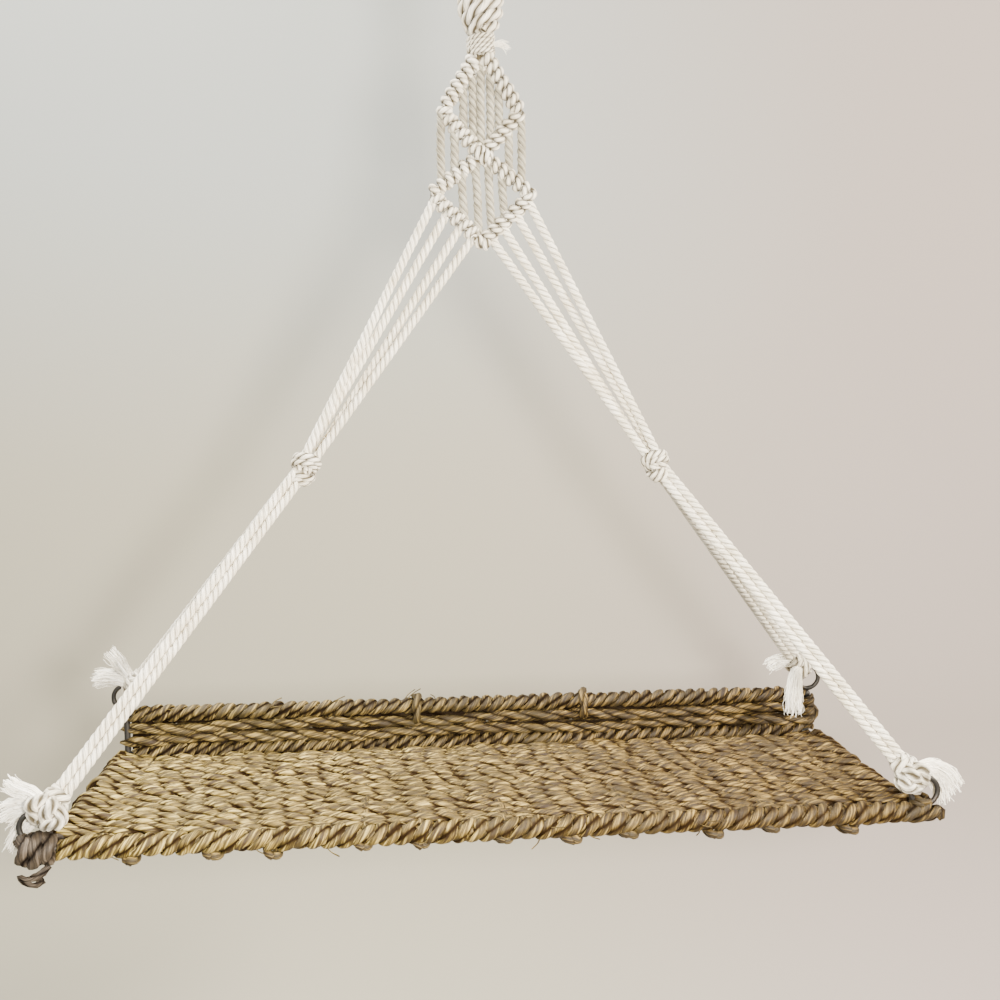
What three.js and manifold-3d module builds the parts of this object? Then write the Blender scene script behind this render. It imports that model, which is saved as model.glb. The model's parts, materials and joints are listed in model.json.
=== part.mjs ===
// A woven seagrass tray shelf hung on knotted cotton cords from a steel ring.
// Millimetres, +Z up, front towards -Y. The origin is the hook's seat, inside the top of the hanging ring.
import * as THREE from 'three';
import { mergeVertices } from 'three/addons/utils/BufferGeometryUtils.js';
import Module from 'manifold-3d';

const wasm = await Module();
wasm.setup();

// Clearances
const seatGap = 0.3;
const cupGap = 0.5;
const weldGrid = 0.001;

// Hanging ring
const ringAcross = 40;
const ringWire = 4;

// Cotton cord, and the spacing of cords that lie side by side
const cordAcross = 5;
const sideBySideGap = 0.5;
const frontToBackGap = 1.6;

// Gathering ball, neck sinnet and neck wrap
const ballBelowWire = 24;
const ballAcross = 20;
const cupRimBelowCentre = 2;
const sinnetLength = 46;
const sinnetAcross = 27;
const sinnetLobeDepth = 4.5;
const wrapTurns = 3;
const wrapCordAcross = 2;
const wrapCoreAcross = 12.8;
const wrapSelfGap = 0.5;

// Macrame diamonds, measured from each diamond's widest level
const upperHalfWidth = 23.7;
const upperRise = 28;
const upperFall = 24.5;
const lowerHalfWidth = 30.7;
const lowerRise = 23.5;
const lowerFall = 28;
const ridgeAcross = 7.2;
const ridgeGroove = 0.9;
const hitchPitch = 5.6;
const ridgeBend = 5;
const topKnotAcross = 12;
const crossingKnotAcross = 11;
const bottomKnotAcross = 9.8;

// Inner and outer cords of the diamonds
const upperInnerPitch = 5.3;
const lowerInnerPitch = 8;
const lowerInnerLean = 2;
const outerCordReaches = { near: 16.5, far: 24 };

// Mid knots, where the upper cords and the legs meet
const midKnotBelowDiamond = 135.5;
const midKnotReach = 109;
const midKnotAcross = 18;
const midKnotWidth = 17;

// Tray
const legRise = 194.5;
const trayDepth = 150;
const frontReach = 86.1;
const sideRodReach = 235;
const frontRodOverhang = 15;
const wireAcross = 4;
const railRise = 27.6;

// Corner eyes, knots and tassels
const eyeAcross = 19;
const eyeWire = 3;
const frontEyeInset = 6.5;
const cornerKnotAcross = 17;
const cornerKnotLength = 18;
const cornerKnotOffset = 10.5;
const tasselLength = 27;
const tasselAcross = 15;

// Seagrass
const frontWindingAcross = 12;
const backWindingAcross = 10;
const windingTurns = 24;
const backWindingTurns = 18;
const windingSelfGap = 0.6;
const windingEndGap = 0.5;
const deckThickness = 10;
const deckRows = 16;
const deckRowGroove = 3.4;
const deckOverhang = 6;
const deckEndGroove = 1.6;
const deckEndWidth = 17;
const weaveColumns = 11;
const weaveColumnPitch = 39;
const rowDip = 1.6;
const seatRow = 9;
const seatLength = 16;
const seatWidth = 3.8;
const leftEndAcross = 17;
const leftEndSag = 2.6;
const rightEndAcross = 12.6;

// Facets
const cordSides = 8;
const ridgeSides = 8;
const wireSides = 8;
const knotSides = 10;
const pivotSides = 16;
const bendSteps = 4;
const windingSteps = 7;
const wrapSteps = 12;
const wrapSides = 6;

// Levels, worked out downwards from the hook's seat
const ringRadius = (ringAcross - ringWire) / 2;
const ringCentreZ = ringWire - ringAcross / 2;
const wireZ = ringCentreZ - ringRadius;
const cordPitch = cordAcross + sideBySideGap;
const bundleReach = (cordPitch + cordAcross) / 2;
const ringSagitta = ringRadius - Math.sqrt(ringRadius ** 2 - bundleReach ** 2);
const swingZ = wireZ + ringSagitta / 2;
const ballZ = swingZ - ballBelowWire;
const sinnetTopZ = ballZ - cupRimBelowCentre;
const sinnetBottomZ = sinnetTopZ - sinnetLength;
const wrapPitch = wrapCordAcross + wrapSelfGap;
const wrapLength = wrapTurns * wrapPitch + wrapCordAcross + 2 * seatGap;
const twistZ = sinnetBottomZ - wrapLength;
const apexZ = twistZ - seatGap - topKnotAcross / 2;
const upperCornerZ = apexZ - upperRise;
const crossingZ = upperCornerZ - upperFall;
const lowerCornerZ = crossingZ - lowerRise;
const bottomZ = lowerCornerZ - lowerFall;
const midKnotZ = bottomZ - midKnotBelowDiamond;
const trayZ = midKnotZ - legRise;
const frontRodReach = sideRodReach + frontRodOverhang;
const frontY = -frontReach;
const backY = trayDepth - frontReach;

const axisX = new THREE.Vector3(1, 0, 0);
const axisY = new THREE.Vector3(0, 1, 0);

// Finishes
function cotton() {
  return new THREE.MeshStandardMaterial({ color: 0xe8e3d6, roughness: 0.95, metalness: 0 });
}

function seagrass() {
  return new THREE.MeshStandardMaterial({ color: 0xb09a6a, roughness: 0.85, metalness: 0 });
}

function darkSteel() {
  return new THREE.MeshStandardMaterial({ color: 0x4d4c4b, roughness: 0.5, metalness: 0.8 });
}

function brightSteel() {
  return new THREE.MeshStandardMaterial({ color: 0xb4b5b6, roughness: 0.3, metalness: 1 });
}

// Solids for cutting and joining
function solidOf(geometry) {
  const bare = geometry.clone();
  bare.deleteAttribute('normal');
  bare.deleteAttribute('uv');
  const merged = mergeVertices(bare, weldGrid);
  const vertProperties = merged.attributes.position.array;
  const triVerts = new Uint32Array(merged.index.array);
  return new wasm.Manifold(new wasm.Mesh({ numProp: 3, vertProperties, triVerts }));
}

function geometryOf(solid) {
  const { vertProperties, triVerts } = solid.getMesh();
  const geometry = new THREE.BufferGeometry();
  geometry.setAttribute('position', new THREE.BufferAttribute(vertProperties, 3));
  geometry.setIndex(new THREE.BufferAttribute(triVerts, 1));
  return geometry;
}

function cut(geometry, ...cutters) {
  return geometryOf(cutters.reduce((left, cutter) => left.subtract(solidOf(cutter)), solidOf(geometry)));
}

function join(first, ...others) {
  return geometryOf(others.reduce((whole, other) => whole.add(solidOf(other)), solidOf(first)));
}

// A closed skin over rings of points, with a cap on each end
function skin(rings) {
  const sides = rings[0].length;
  const ends = [rings[0], rings[rings.length - 1]];
  const middles = ends.map((ring) =>
    ring.reduce((sum, point) => sum.add(point), new THREE.Vector3()).divideScalar(sides));
  const points = [...rings.flat(), ...middles];
  const start = rings.length * sides;
  const lastRing = start - sides;
  const index = [];
  for (let side = 0; side < sides; side++) {
    const next = (side + 1) % sides;
    index.push(start, next, side);
    index.push(start + 1, lastRing + side, lastRing + next);
    for (let base = 0; base < lastRing; base += sides) {
      const a = base + side;
      const b = base + next;
      index.push(a, b, b + sides, a, b + sides, a + sides);
    }
  }
  const geometry = new THREE.BufferGeometry().setFromPoints(points);
  geometry.setIndex(index);
  return geometry;
}

// A section carried along a route; lean is the direction that the section's first axis keeps to
function sweep(route, lean, sectionAt) {
  const last = route.length - 1;
  const rings = route.map((point, i) => {
    const ahead = route[Math.min(i + 1, last)];
    const behind = route[Math.max(i - 1, 0)];
    const along = ahead.clone().sub(behind).normalize();
    const out = lean.clone().addScaledVector(along, -lean.dot(along)).normalize();
    const over = along.clone().cross(out);
    const place = ([a, b]) => point.clone().addScaledVector(out, a).addScaledVector(over, b);
    return sectionAt(i / last).map(place);
  });
  return skin(rings);
}

function circle(radius, sides) {
  return Array.from({ length: sides }, (_, i) => {
    const angle = (2 * Math.PI * i) / sides;
    return [radius * Math.cos(angle), radius * Math.sin(angle)];
  });
}

function straightCord(from, to, across, sides = cordSides) {
  const along = to.clone().sub(from);
  const geometry = new THREE.CylinderGeometry(across / 2, across / 2, along.length(), sides);
  geometry.applyQuaternion(new THREE.Quaternion().setFromUnitVectors(axisY, along.clone().normalize()));
  const middle = from.clone().add(to).divideScalar(2);
  return geometry.translate(middle.x, middle.y, middle.z);
}

function ball(across, centre, sides = knotSides) {
  const geometry = new THREE.SphereGeometry(across / 2, sides, sides / 2);
  return geometry.rotateX(Math.PI / 2).translate(centre.x, centre.y, centre.z);
}

// A knot turned about its own length, from shares of its width and length
function turnedKnot(shares, across, length, along, centre, sides = knotSides) {
  const profile = shares.map(([out, up]) => new THREE.Vector2(out * across, up * length));
  const geometry = new THREE.LatheGeometry(profile, sides);
  geometry.applyQuaternion(new THREE.Quaternion().setFromUnitVectors(axisY, along));
  return geometry.translate(centre.x, centre.y, centre.z);
}

// The hanging ring and the cords that fold over it
function hangingRing() {
  const ringSteps = 24;
  const geometry = new THREE.TorusGeometry(ringRadius, ringWire / 2, wireSides, ringSteps);
  return geometry.rotateX(Math.PI / 2).translate(0, 0, ringCentreZ);
}

function gatherBall(gap) {
  return ball(ballAcross + 2 * gap, new THREE.Vector3(0, 0, ballZ), pivotSides);
}

// One cord folded over the ring's wire: up the front, over and down the back, closing in towards the ball
function foldedCord(x, bendRadius, footReach) {
  const halfTurnSteps = 8;
  const straightShare = 0.35;
  const straightDrop = straightShare * ballBelowWire;
  const at = (y, z) => new THREE.Vector3(x, y, z);
  const route = [at(-footReach, ballZ), at(-bendRadius, swingZ - straightDrop)];
  for (let step = 0; step <= halfTurnSteps; step++) {
    const angle = (Math.PI * step) / halfTurnSteps;
    route.push(at(-bendRadius * Math.cos(angle), swingZ + bendRadius * Math.sin(angle)));
  }
  route.push(at(bendRadius, swingZ - straightDrop), at(footReach, ballZ));
  const tube = sweep(route, axisX, () => circle(cordAcross / 2, cordSides));
  return cut(tube, gatherBall(seatGap));
}

function foldedCords() {
  const innerBend = (ringWire + ringSagitta + cordAcross) / 2 + seatGap;
  const outerBend = innerBend + cordPitch;
  const innerFoot = cordPitch / 2;
  const outerFoot = innerFoot + cordPitch;
  const side = cordPitch / 2;
  return {
    folded_cord_left_inner: foldedCord(-side, innerBend, innerFoot),
    folded_cord_right_inner: foldedCord(side, innerBend, innerFoot),
    folded_cord_left_outer: foldedCord(-side, outerBend, outerFoot),
    folded_cord_right_outer: foldedCord(side, outerBend, outerFoot),
  };
}

// The neck: a spiral sinnet with a cup under the ball, then a core that the wrap winds round
function sinnetSection(radius, lobe, turn) {
  const sinnetSides = 16;
  return Array.from({ length: sinnetSides }, (_, i) => {
    const angle = (2 * Math.PI * i) / sinnetSides;
    const r = radius - (lobe * (1 - Math.cos(2 * (angle - turn)))) / 2;
    return [r * Math.cos(angle), r * Math.sin(angle)];
  });
}

function neckSinnet() {
  const sinnetSteps = 16;
  const halfTurns = 2.5;
  const taperShare = 0.72;
  const route = Array.from({ length: sinnetSteps + 1 }, (_, i) =>
    new THREE.Vector3(0, 0, sinnetTopZ - (sinnetLength * i) / sinnetSteps));
  const body = sweep(route, axisX, (share) => {
    const pinch = 1 - (1 - taperShare) * Math.max(0, share * 2 - 1);
    return sinnetSection((sinnetAcross / 2) * pinch, sinnetLobeDepth * pinch, share * halfTurns * Math.PI);
  });
  const coreTop = new THREE.Vector3(0, 0, sinnetBottomZ + wrapCoreAcross / 2);
  const core = straightCord(coreTop, new THREE.Vector3(0, 0, twistZ), wrapCoreAcross, knotSides);
  return cut(join(body, core), gatherBall(cupGap));
}

function wrapRoute() {
  const radius = (wrapCoreAcross + wrapCordAcross) / 2 + seatGap;
  const top = sinnetBottomZ - seatGap - wrapCordAcross / 2;
  return Array.from({ length: wrapTurns * wrapSteps + 1 }, (_, i) => {
    const angle = (2 * Math.PI * i) / wrapSteps;
    const z = top - (wrapPitch * i) / wrapSteps;
    return new THREE.Vector3(radius * Math.cos(angle), radius * Math.sin(angle), z);
  });
}

// The least gap between the turns of a winding, measured from its rings' points
function leastGap(rings, stepsPerTurn) {
  let least = Infinity;
  rings.forEach((ring, i) => {
    for (const other of rings.slice(i + stepsPerTurn - 1, i + stepsPerTurn + 2))
      for (const a of ring)
        for (const b of other) least = Math.min(least, a.distanceTo(b));
  });
  return least;
}

function neckWrap() {
  const route = wrapRoute();
  const up = new THREE.Vector3(0, 0, 1);
  const centres = route.map((point) => [point]);
  const gap = leastGap(centres, wrapSteps) - wrapCordAcross;
  console.log(`neck_wrap: least gap to itself ${gap.toFixed(2)} mm`);
  return sweep(route, up, () => circle(wrapCordAcross / 2, wrapSides));
}

// Macrame ridges: each a bead of hitches along a bent path
function bentPath(from, corner, to) {
  const back = from.clone().sub(corner).setLength(ridgeBend).add(corner);
  const on = to.clone().sub(corner).setLength(ridgeBend).add(corner);
  const path = new THREE.CurvePath();
  path.add(new THREE.LineCurve3(from, back));
  path.add(new THREE.QuadraticBezierCurve3(back, corner, on));
  path.add(new THREE.LineCurve3(on, to));
  return path;
}

function ridge(path) {
  const stations = 2 * Math.round(path.getLength() / hitchPitch);
  const route = Array.from({ length: stations + 1 }, (_, i) => path.getPointAt(i / stations));
  return sweep(route, axisY, (share) => {
    const inGroove = Math.round(share * stations) % 2 === 0;
    return circle(ridgeAcross / 2 - (inGroove ? ridgeGroove : 0), ridgeSides);
  });
}

function ridgeCutter(path) {
  return sweep(path.getPoints(bendSteps), axisY, () => circle(ridgeAcross / 2 + seatGap, ridgeSides));
}

const spot = (x, z) => new THREE.Vector3(x, 0, z);
const apex = spot(0, apexZ);
const crossing = spot(0, crossingZ);
const bottom = spot(0, bottomZ);

function upperPath(side) {
  return bentPath(apex, spot(side * upperHalfWidth, upperCornerZ), crossing);
}

function lowerPath(side) {
  return bentPath(crossing, spot(side * lowerHalfWidth, lowerCornerZ), bottom);
}

function ridgeCutters() {
  return [-1, 1].flatMap((side) => [upperPath(side), lowerPath(side)]).map(ridgeCutter);
}

function knotCutters() {
  return [
    ball(topKnotAcross + 2 * seatGap, apex),
    ball(crossingKnotAcross + 2 * seatGap, crossing),
    ball(bottomKnotAcross + 2 * seatGap, bottom),
  ];
}

function macrameRidges() {
  const crossingKnot = ball(crossingKnotAcross, crossing);
  const bottomKnot = ball(bottomKnotAcross, bottom);
  const [topCutter, crossingCutter, bottomCutter] = knotCutters();
  return {
    top_knot: ball(topKnotAcross, apex),
    ridge_upper_left: join(cut(ridge(upperPath(-1)), topCutter), crossingKnot),
    ridge_upper_right: cut(ridge(upperPath(1)), topCutter, crossingCutter),
    ridge_lower_left: join(cut(ridge(lowerPath(-1)), crossingCutter), bottomKnot),
    ridge_lower_right: cut(ridge(lowerPath(1)), crossingCutter, bottomCutter),
  };
}

// The level of a ridge's axis at a distance from the middle
const topLevel = (x) => apexZ - (upperRise * Math.abs(x)) / upperHalfWidth;
const upperCrossLevel = (x) => crossingZ + (upperFall * Math.abs(x)) / upperHalfWidth;
const lowerCrossLevel = (x) => crossingZ - (lowerRise * Math.abs(x)) / lowerHalfWidth;
const bottomLevel = (x) => bottomZ + (lowerFall * Math.abs(x)) / lowerHalfWidth;

function diamondCords(cutters) {
  const cords = {};
  const add = (name, from, to) => {
    cords[name] = cut(straightCord(from, to, cordAcross), ...cutters);
  };
  [-2, -1, 0, 1, 2].forEach((step, i) => {
    const x = step * upperInnerPitch;
    add(`upper_inner_cord_${i + 1}`, spot(x, topLevel(x)), spot(x, upperCrossLevel(x)));
  });
  [-1.5, -0.5, 0.5, 1.5].forEach((step, i) => {
    const x = step * lowerInnerPitch;
    const foot = x + lowerInnerLean;
    add(`lower_inner_cord_${i + 1}`, spot(x, lowerCrossLevel(x)), spot(foot, bottomLevel(foot)));
  });
  for (const [side, name] of [[-1, 'left'], [1, 'right']])
    for (const [place, reach] of Object.entries(outerCordReaches)) {
      const x = side * reach;
      const top = Math.min(upperCrossLevel(x), upperCornerZ);
      add(`outer_cord_${name}_${place}`, spot(x, top), spot(x, lowerCrossLevel(x)));
    }
  return cords;
}

// Mid knots: round about the line through both, so that the legs can swing under them
const midKnotShares = [
  [0, -0.5], [0.3, -0.47], [0.42, -0.36], [0.45, -0.2], [0.42, -0.14], [0.5, 0],
  [0.42, 0.14], [0.45, 0.2], [0.42, 0.36], [0.3, 0.47], [0, 0.5],
];

function midKnot(side, grow) {
  const centre = spot(side * midKnotReach, midKnotZ);
  return turnedKnot(midKnotShares, midKnotAcross + grow, midKnotWidth + grow, axisX, centre, pivotSides);
}

// Upper cords: four on each side, from the lower diamond to a mid knot
const upperCordStartShares = [0.91, 0.65, 0.38, 0.14];
const upperCordSeats = [[1, -1], [1, 1], [-1, 1], [-1, -1]];

function upperCord(side, number, cutters) {
  const x = side * upperCordStartShares[number] * lowerHalfWidth;
  const start = spot(x, bottomLevel(x));
  const knot = spot(side * midKnotReach, midKnotZ);
  const along = knot.clone().sub(bottom).normalize();
  const outward = along.clone().cross(axisY).multiplyScalar(side);
  const [out, back] = upperCordSeats[number];
  const end = knot.clone().addScaledVector(outward, (out * cordPitch) / 2);
  end.y = (back * (cordAcross + frontToBackGap)) / 2;
  return cut(straightCord(start, end, cordAcross), ...cutters, midKnot(side, 2 * seatGap));
}

function upperCords(cutters) {
  const cords = {};
  for (const [side, name] of [[-1, 'left'], [1, 'right']])
    upperCordStartShares.forEach((_, number) => {
      cords[`upper_cord_${name}_${number + 1}`] = upperCord(side, number, cutters);
    });
  return cords;
}

// The tray's places are measured from the point of the deck's middle plane under the ring
const frontEyeX = frontRodReach - frontEyeInset;
const eyeCentreRise = wireAcross / 2 + seatGap + eyeAcross / 2;
const eyeRadius = (eyeAcross - eyeWire) / 2;
const corners = [
  { name: 'front_left', side: -1, front: true, x: -frontEyeX, y: frontY, z: eyeCentreRise },
  { name: 'front_right', side: 1, front: true, x: frontEyeX, y: frontY, z: eyeCentreRise },
  { name: 'back_left', side: -1, front: false, x: -sideRodReach, y: backY, z: railRise + eyeCentreRise },
  { name: 'back_right', side: 1, front: false, x: sideRodReach, y: backY, z: railRise + eyeCentreRise },
];

function eyeCentre(corner) {
  return new THREE.Vector3(corner.x, corner.y, corner.z);
}

function legTop(corner) {
  return new THREE.Vector3(corner.side * midKnotReach, 0, legRise);
}

function towardsMidKnot(corner) {
  return legTop(corner).sub(eyeCentre(corner)).normalize();
}

function knotCentre(corner) {
  return eyeCentre(corner).addScaledVector(towardsMidKnot(corner), cornerKnotOffset);
}

function eye(corner, grow) {
  const eyeSteps = 12;
  const eyeSides = 6;
  const geometry = new THREE.TorusGeometry(eyeRadius, eyeWire / 2 + grow, eyeSides, eyeSteps);
  return geometry.rotateX(Math.PI / 2).translate(corner.x, corner.y, corner.z);
}

const cornerKnotShares = [
  [0, -0.5], [0.3, -0.46], [0.46, -0.32], [0.5, -0.18], [0.42, -0.04],
  [0.48, 0.12], [0.44, 0.28], [0.3, 0.42], [0, 0.46],
];

function cornerKnotBody(corner, grow) {
  const across = cornerKnotAcross + grow;
  const length = cornerKnotLength + grow;
  return turnedKnot(cornerKnotShares, across, length, towardsMidKnot(corner), knotCentre(corner));
}

// Each tassel's middle line from its knot, as shares of the tassel's length
const tasselRouteShares = {
  front_left: [[0, 0, 0], [-0.35, 0.1, 0.02], [-0.7, 0.16, -0.1], [-0.98, 0.2, -0.32]],
  front_right: [[0, 0, 0], [0.4, 0.12, 0.04], [0.75, 0.2, -0.1], [1.02, 0.24, -0.36]],
  back_left: [[0, 0, 0], [-0.36, 0.06, 0.12], [-0.72, 0.08, 0.28], [-1.08, 0.08, 0.36]],
  back_right: [[0, -0.1, 0], [-0.26, -0.42, -0.12], [-0.38, -0.56, -0.6], [-0.4, -0.58, -1.12]],
};
const tasselWidthShares = [0.42, 0.52, 0.78, 1];

function tasselSection(radius) {
  const tasselSides = 16;
  const flatShare = 0.7;
  const lobeShare = 0.86;
  return circle(radius, tasselSides).map(([a, b], i) => {
    const lobe = i % 2 === 0 ? 1 : lobeShare;
    return [a * lobe * flatShare, b * lobe];
  });
}

function tassel(corner) {
  const origin = knotCentre(corner);
  const place = ([x, y, z]) => new THREE.Vector3(x, y, z).multiplyScalar(tasselLength).add(origin);
  const route = tasselRouteShares[corner.name].map(place);
  const last = route.length - 1;
  return sweep(route, axisY, (share) => {
    const widthShare = tasselWidthShares[Math.round(share * last)];
    return tasselSection((tasselAcross * widthShare) / 2);
  });
}

function knotWithTassel(corner) {
  return cut(join(cornerKnotBody(corner, 0), tassel(corner)), eye(corner, seatGap));
}

// Legs: two cords side by side from a mid knot to a corner knot
function leg(corner, offset) {
  const towards = towardsMidKnot(corner);
  const sideways = towards.clone().cross(axisY).normalize().multiplyScalar((offset * cordPitch) / 2);
  const cord = straightCord(knotCentre(corner).add(sideways), legTop(corner).add(sideways), cordAcross);
  const knot = midKnot(corner.side, 2 * seatGap).translate(0, 0, -trayZ);
  return cut(cord, knot, cornerKnotBody(corner, 2 * seatGap));
}

// The welded wire frame: base rectangle, posts and top rod
function frameWires(across) {
  const at = (x, y, z) => new THREE.Vector3(x, y, z);
  const wire = (from, to) => straightCord(from, to, across, wireSides);
  const wires = [wire(at(-frontRodReach, frontY, 0), at(frontRodReach, frontY, 0))];
  wires.push(wire(at(-sideRodReach, backY, 0), at(sideRodReach, backY, 0)));
  wires.push(wire(at(-sideRodReach, backY, railRise), at(sideRodReach, backY, railRise)));
  const overrun = across / 2;
  for (const x of [-sideRodReach, sideRodReach]) {
    wires.push(wire(at(x, frontY, 0), at(x, backY, 0)));
    wires.push(wire(at(x, backY, -overrun), at(x, backY, railRise + overrun)));
  }
  return wires;
}

function wireFrame() {
  return join(...frameWires(wireAcross));
}

function wireCutters() {
  return frameWires(wireAcross + 2 * seatGap);
}

// A seagrass cord wound round a rail, drawn as broad turns that lean to the right
function windingRings(across, reach, turns) {
  const inner = wireAcross / 2 + windingSelfGap;
  const outer = across / 2;
  const shoulder = outer - (outer - inner) / 3;
  const pitch = (2 * reach) / (turns + 1);
  const width = pitch - windingSelfGap;
  const section = [
    [0, outer], [-width / 2, shoulder], [-width / 2, inner], [width / 2, inner], [width / 2, shoulder],
  ];
  const start = reach - pitch / 2;
  return Array.from({ length: turns * windingSteps + 1 }, (_, i) => {
    const angle = (2 * Math.PI * i) / windingSteps;
    const x = start - (pitch * i) / windingSteps;
    return section.map(([a, r]) => new THREE.Vector3(x + a, r * Math.cos(angle), r * Math.sin(angle)));
  });
}

// The least gap along the rail between one turn and the next
function windingGap(rings) {
  const gaps = rings.slice(windingSteps).map((ring, i) => {
    const nearEdge = Math.min(...rings[i].map((point) => point.x));
    const farEdge = Math.max(...ring.map((point) => point.x));
    return nearEdge - farEdge;
  });
  return Math.min(...gaps);
}

function railWinding(name, across, reach, turns, y, z) {
  const rings = windingRings(across, reach, turns);
  console.log(`${name}: least gap to itself ${windingGap(rings).toFixed(2)} mm`);
  return skin(rings).translate(0, y, z);
}

// The woven deck: every other half row crests in one column of the weave, and the ones between crest in
// the next, all dipping at the lines between columns, with tunnels for the side wires
const deckFrontY = frontY + frontWindingAcross / 2 + seatGap;
const deckBackY = backY - backWindingAcross / 2 - seatGap;
const deckPitch = (deckBackY - deckFrontY) / deckRows;
const seatHalfRow = 2 * seatRow + 1;

function deckStations() {
  const level = deckThickness / 2;
  const endX = sideRodReach + deckOverhang;
  const end = { crown: level, groove: level - deckEndGroove, column: 1 };
  const dip = { crown: level - rowDip, groove: level - rowDip, column: 1 };
  const lineX = (line) => (line - weaveColumns / 2) * weaveColumnPitch;
  const stations = [{ ...end, x: -endX }, { ...end, x: deckEndWidth - endX }, { ...dip, x: lineX(0) }];
  for (let column = 0; column < weaveColumns; column++) {
    const middleX = lineX(column) + weaveColumnPitch / 2;
    const crests = 2 * column + 1 === weaveColumns ? [-seatLength / 2, seatLength / 2] : [0];
    for (const reach of crests)
      stations.push({ crown: level, groove: level - deckRowGroove, column, x: middleX + reach });
    stations.push({ ...dip, x: lineX(column + 1) });
  }
  return [...stations, { ...end, x: endX - deckEndWidth }, { ...end, x: endX }];
}

// One face of the deck from front to back at a station; the seat's crest is flat, the others come to a ridge
function deckFace({ crown, groove, column }, under) {
  const lastHalf = 2 * deckRows;
  const face = [];
  for (let half = 0; half <= lastHalf; half++) {
    const onEdge = half === 0 || half === lastHalf;
    const crests = !onEdge && (half + column + under) % 2 === 0;
    const reaches = half === seatHalfRow && !under ? [-seatWidth / 2, seatWidth / 2] : [0];
    for (const reach of reaches)
      face.push([deckFrontY + (half * deckPitch) / 2 + reach, crests ? crown : groove]);
  }
  return face;
}

function deckRing(station) {
  const under = deckFace(station, 1).map(([y, z]) => [y, -z]);
  const top = deckFace(station, 0).reverse();
  return [...under, ...top].map(([y, z]) => new THREE.Vector3(station.x, y, z));
}

function deckWeave() {
  return cut(skin(deckStations().map(deckRing)), ...wireCutters());
}

// The upstand's cord: across, round the right-hand post and back
function upstandWeave() {
  const space = railRise - backWindingAcross;
  const across = (space - 3 * seatGap) / 2;
  const lowZ = backWindingAcross / 2 + seatGap + across / 2;
  const bend = (across + seatGap) / 2;
  const highZ = lowZ + 2 * bend;
  const endX = sideRodReach + deckOverhang;
  const bendX = sideRodReach + wireAcross / 2 + seatGap;
  const at = (x, z) => new THREE.Vector3(x, backY, z);
  const route = [at(-endX, highZ), at(bendX, highZ)];
  for (let step = 1; step < bendSteps; step++) {
    const angle = Math.PI / 2 - (Math.PI * step) / bendSteps;
    route.push(at(bendX + bend * Math.cos(angle), lowZ + bend + bend * Math.sin(angle)));
  }
  route.push(at(bendX, lowZ), at(-endX, lowZ));
  const tube = sweep(route, axisY, () => circle(across / 2, cordSides));
  return cut(tube, ...wireCutters());
}

// The seagrass lumps that finish the front rail
const railEndShares = [[0, -0.5], [0.34, -0.46], [0.5, -0.2], [0.5, 0.16], [0.38, 0.42], [0, 0.5]];

function railEnd(side, across, sag, corner) {
  const start = sideRodReach + wireAcross / 2 + windingEndGap;
  const end = frontRodReach + wireAcross / 2;
  const centre = new THREE.Vector3((side * (start + end)) / 2, frontY - sag, -sag);
  const lump = turnedKnot(railEndShares, across, end - start, axisX.clone().multiplyScalar(side), centre);
  return cut(lump, ...wireCutters(), eye(corner, seatGap), cornerKnotBody(corner, 2 * seatGap));
}

function trayParts() {
  const [frontLeft, frontRight] = corners;
  const windingReach = sideRodReach - wireAcross / 2 - windingEndGap;
  const backReach = windingReach - backWindingAcross / 2;
  const front = ['front_winding', frontWindingAcross, windingReach, windingTurns, frontY, 0];
  const back = ['back_winding', backWindingAcross, backReach, backWindingTurns, backY, 0];
  const top = ['top_winding', backWindingAcross, backReach, backWindingTurns, backY, railRise];
  const seagrassParts = {
    front_winding: railWinding(...front),
    back_winding: railWinding(...back),
    top_winding: railWinding(...top),
    deck_weave: deckWeave(),
    upstand_weave: upstandWeave(),
    rail_end_left: railEnd(-1, leftEndAcross, leftEndSag, frontLeft),
    rail_end_right: railEnd(1, rightEndAcross, 0, frontRight),
  };
  const steelParts = { wire_frame: wireFrame() };
  const cottonParts = {};
  for (const corner of corners) {
    steelParts[`eye_${corner.name}`] = eye(corner, 0);
    cottonParts[`corner_knot_${corner.name}`] = knotWithTassel(corner);
    cottonParts[`leg_${corner.name}_outer`] = leg(corner, corner.side);
    cottonParts[`leg_${corner.name}_inner`] = leg(corner, -corner.side);
  }
  return { seagrassParts, steelParts, cottonParts };
}

// Scene graph
function addMeshes(group, parts, material) {
  for (const [name, geometry] of Object.entries(parts)) {
    const mesh = new THREE.Mesh(geometry, material());
    mesh.name = name;
    group.add(mesh);
  }
}

function hangingGear() {
  const group = new THREE.Group();
  addMeshes(group, { hanging_ring: hangingRing() }, brightSteel);
  const neck = { gather_ball: gatherBall(0), neck_sinnet: neckSinnet(), neck_wrap: neckWrap() };
  addMeshes(group, { ...foldedCords(), ...neck }, cotton);
  return group;
}

function macrame() {
  const group = new THREE.Group();
  const cutters = [...ridgeCutters(), ...knotCutters()];
  addMeshes(group, { ...macrameRidges(), ...diamondCords(cutters), ...upperCords(cutters) }, cotton);
  addMeshes(group, { mid_knot_left: midKnot(-1, 0), mid_knot_right: midKnot(1, 0) }, cotton);
  return group;
}

function tray() {
  const group = new THREE.Group();
  const { seagrassParts, steelParts, cottonParts } = trayParts();
  addMeshes(group, seagrassParts, seagrass);
  addMeshes(group, steelParts, darkSteel);
  addMeshes(group, cottonParts, cotton);
  group.position.z = trayZ;
  return group;
}

const shelf = new THREE.Group();
shelf.add(hangingGear(), macrame(), tray());

export default shelf;
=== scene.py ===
import json
import logging
import math
import random
from dataclasses import dataclass, field, replace
from enum import Enum
from typing import Any, ClassVar, Iterable, Sequence

import bpy
from mathutils import Matrix, Vector


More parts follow.
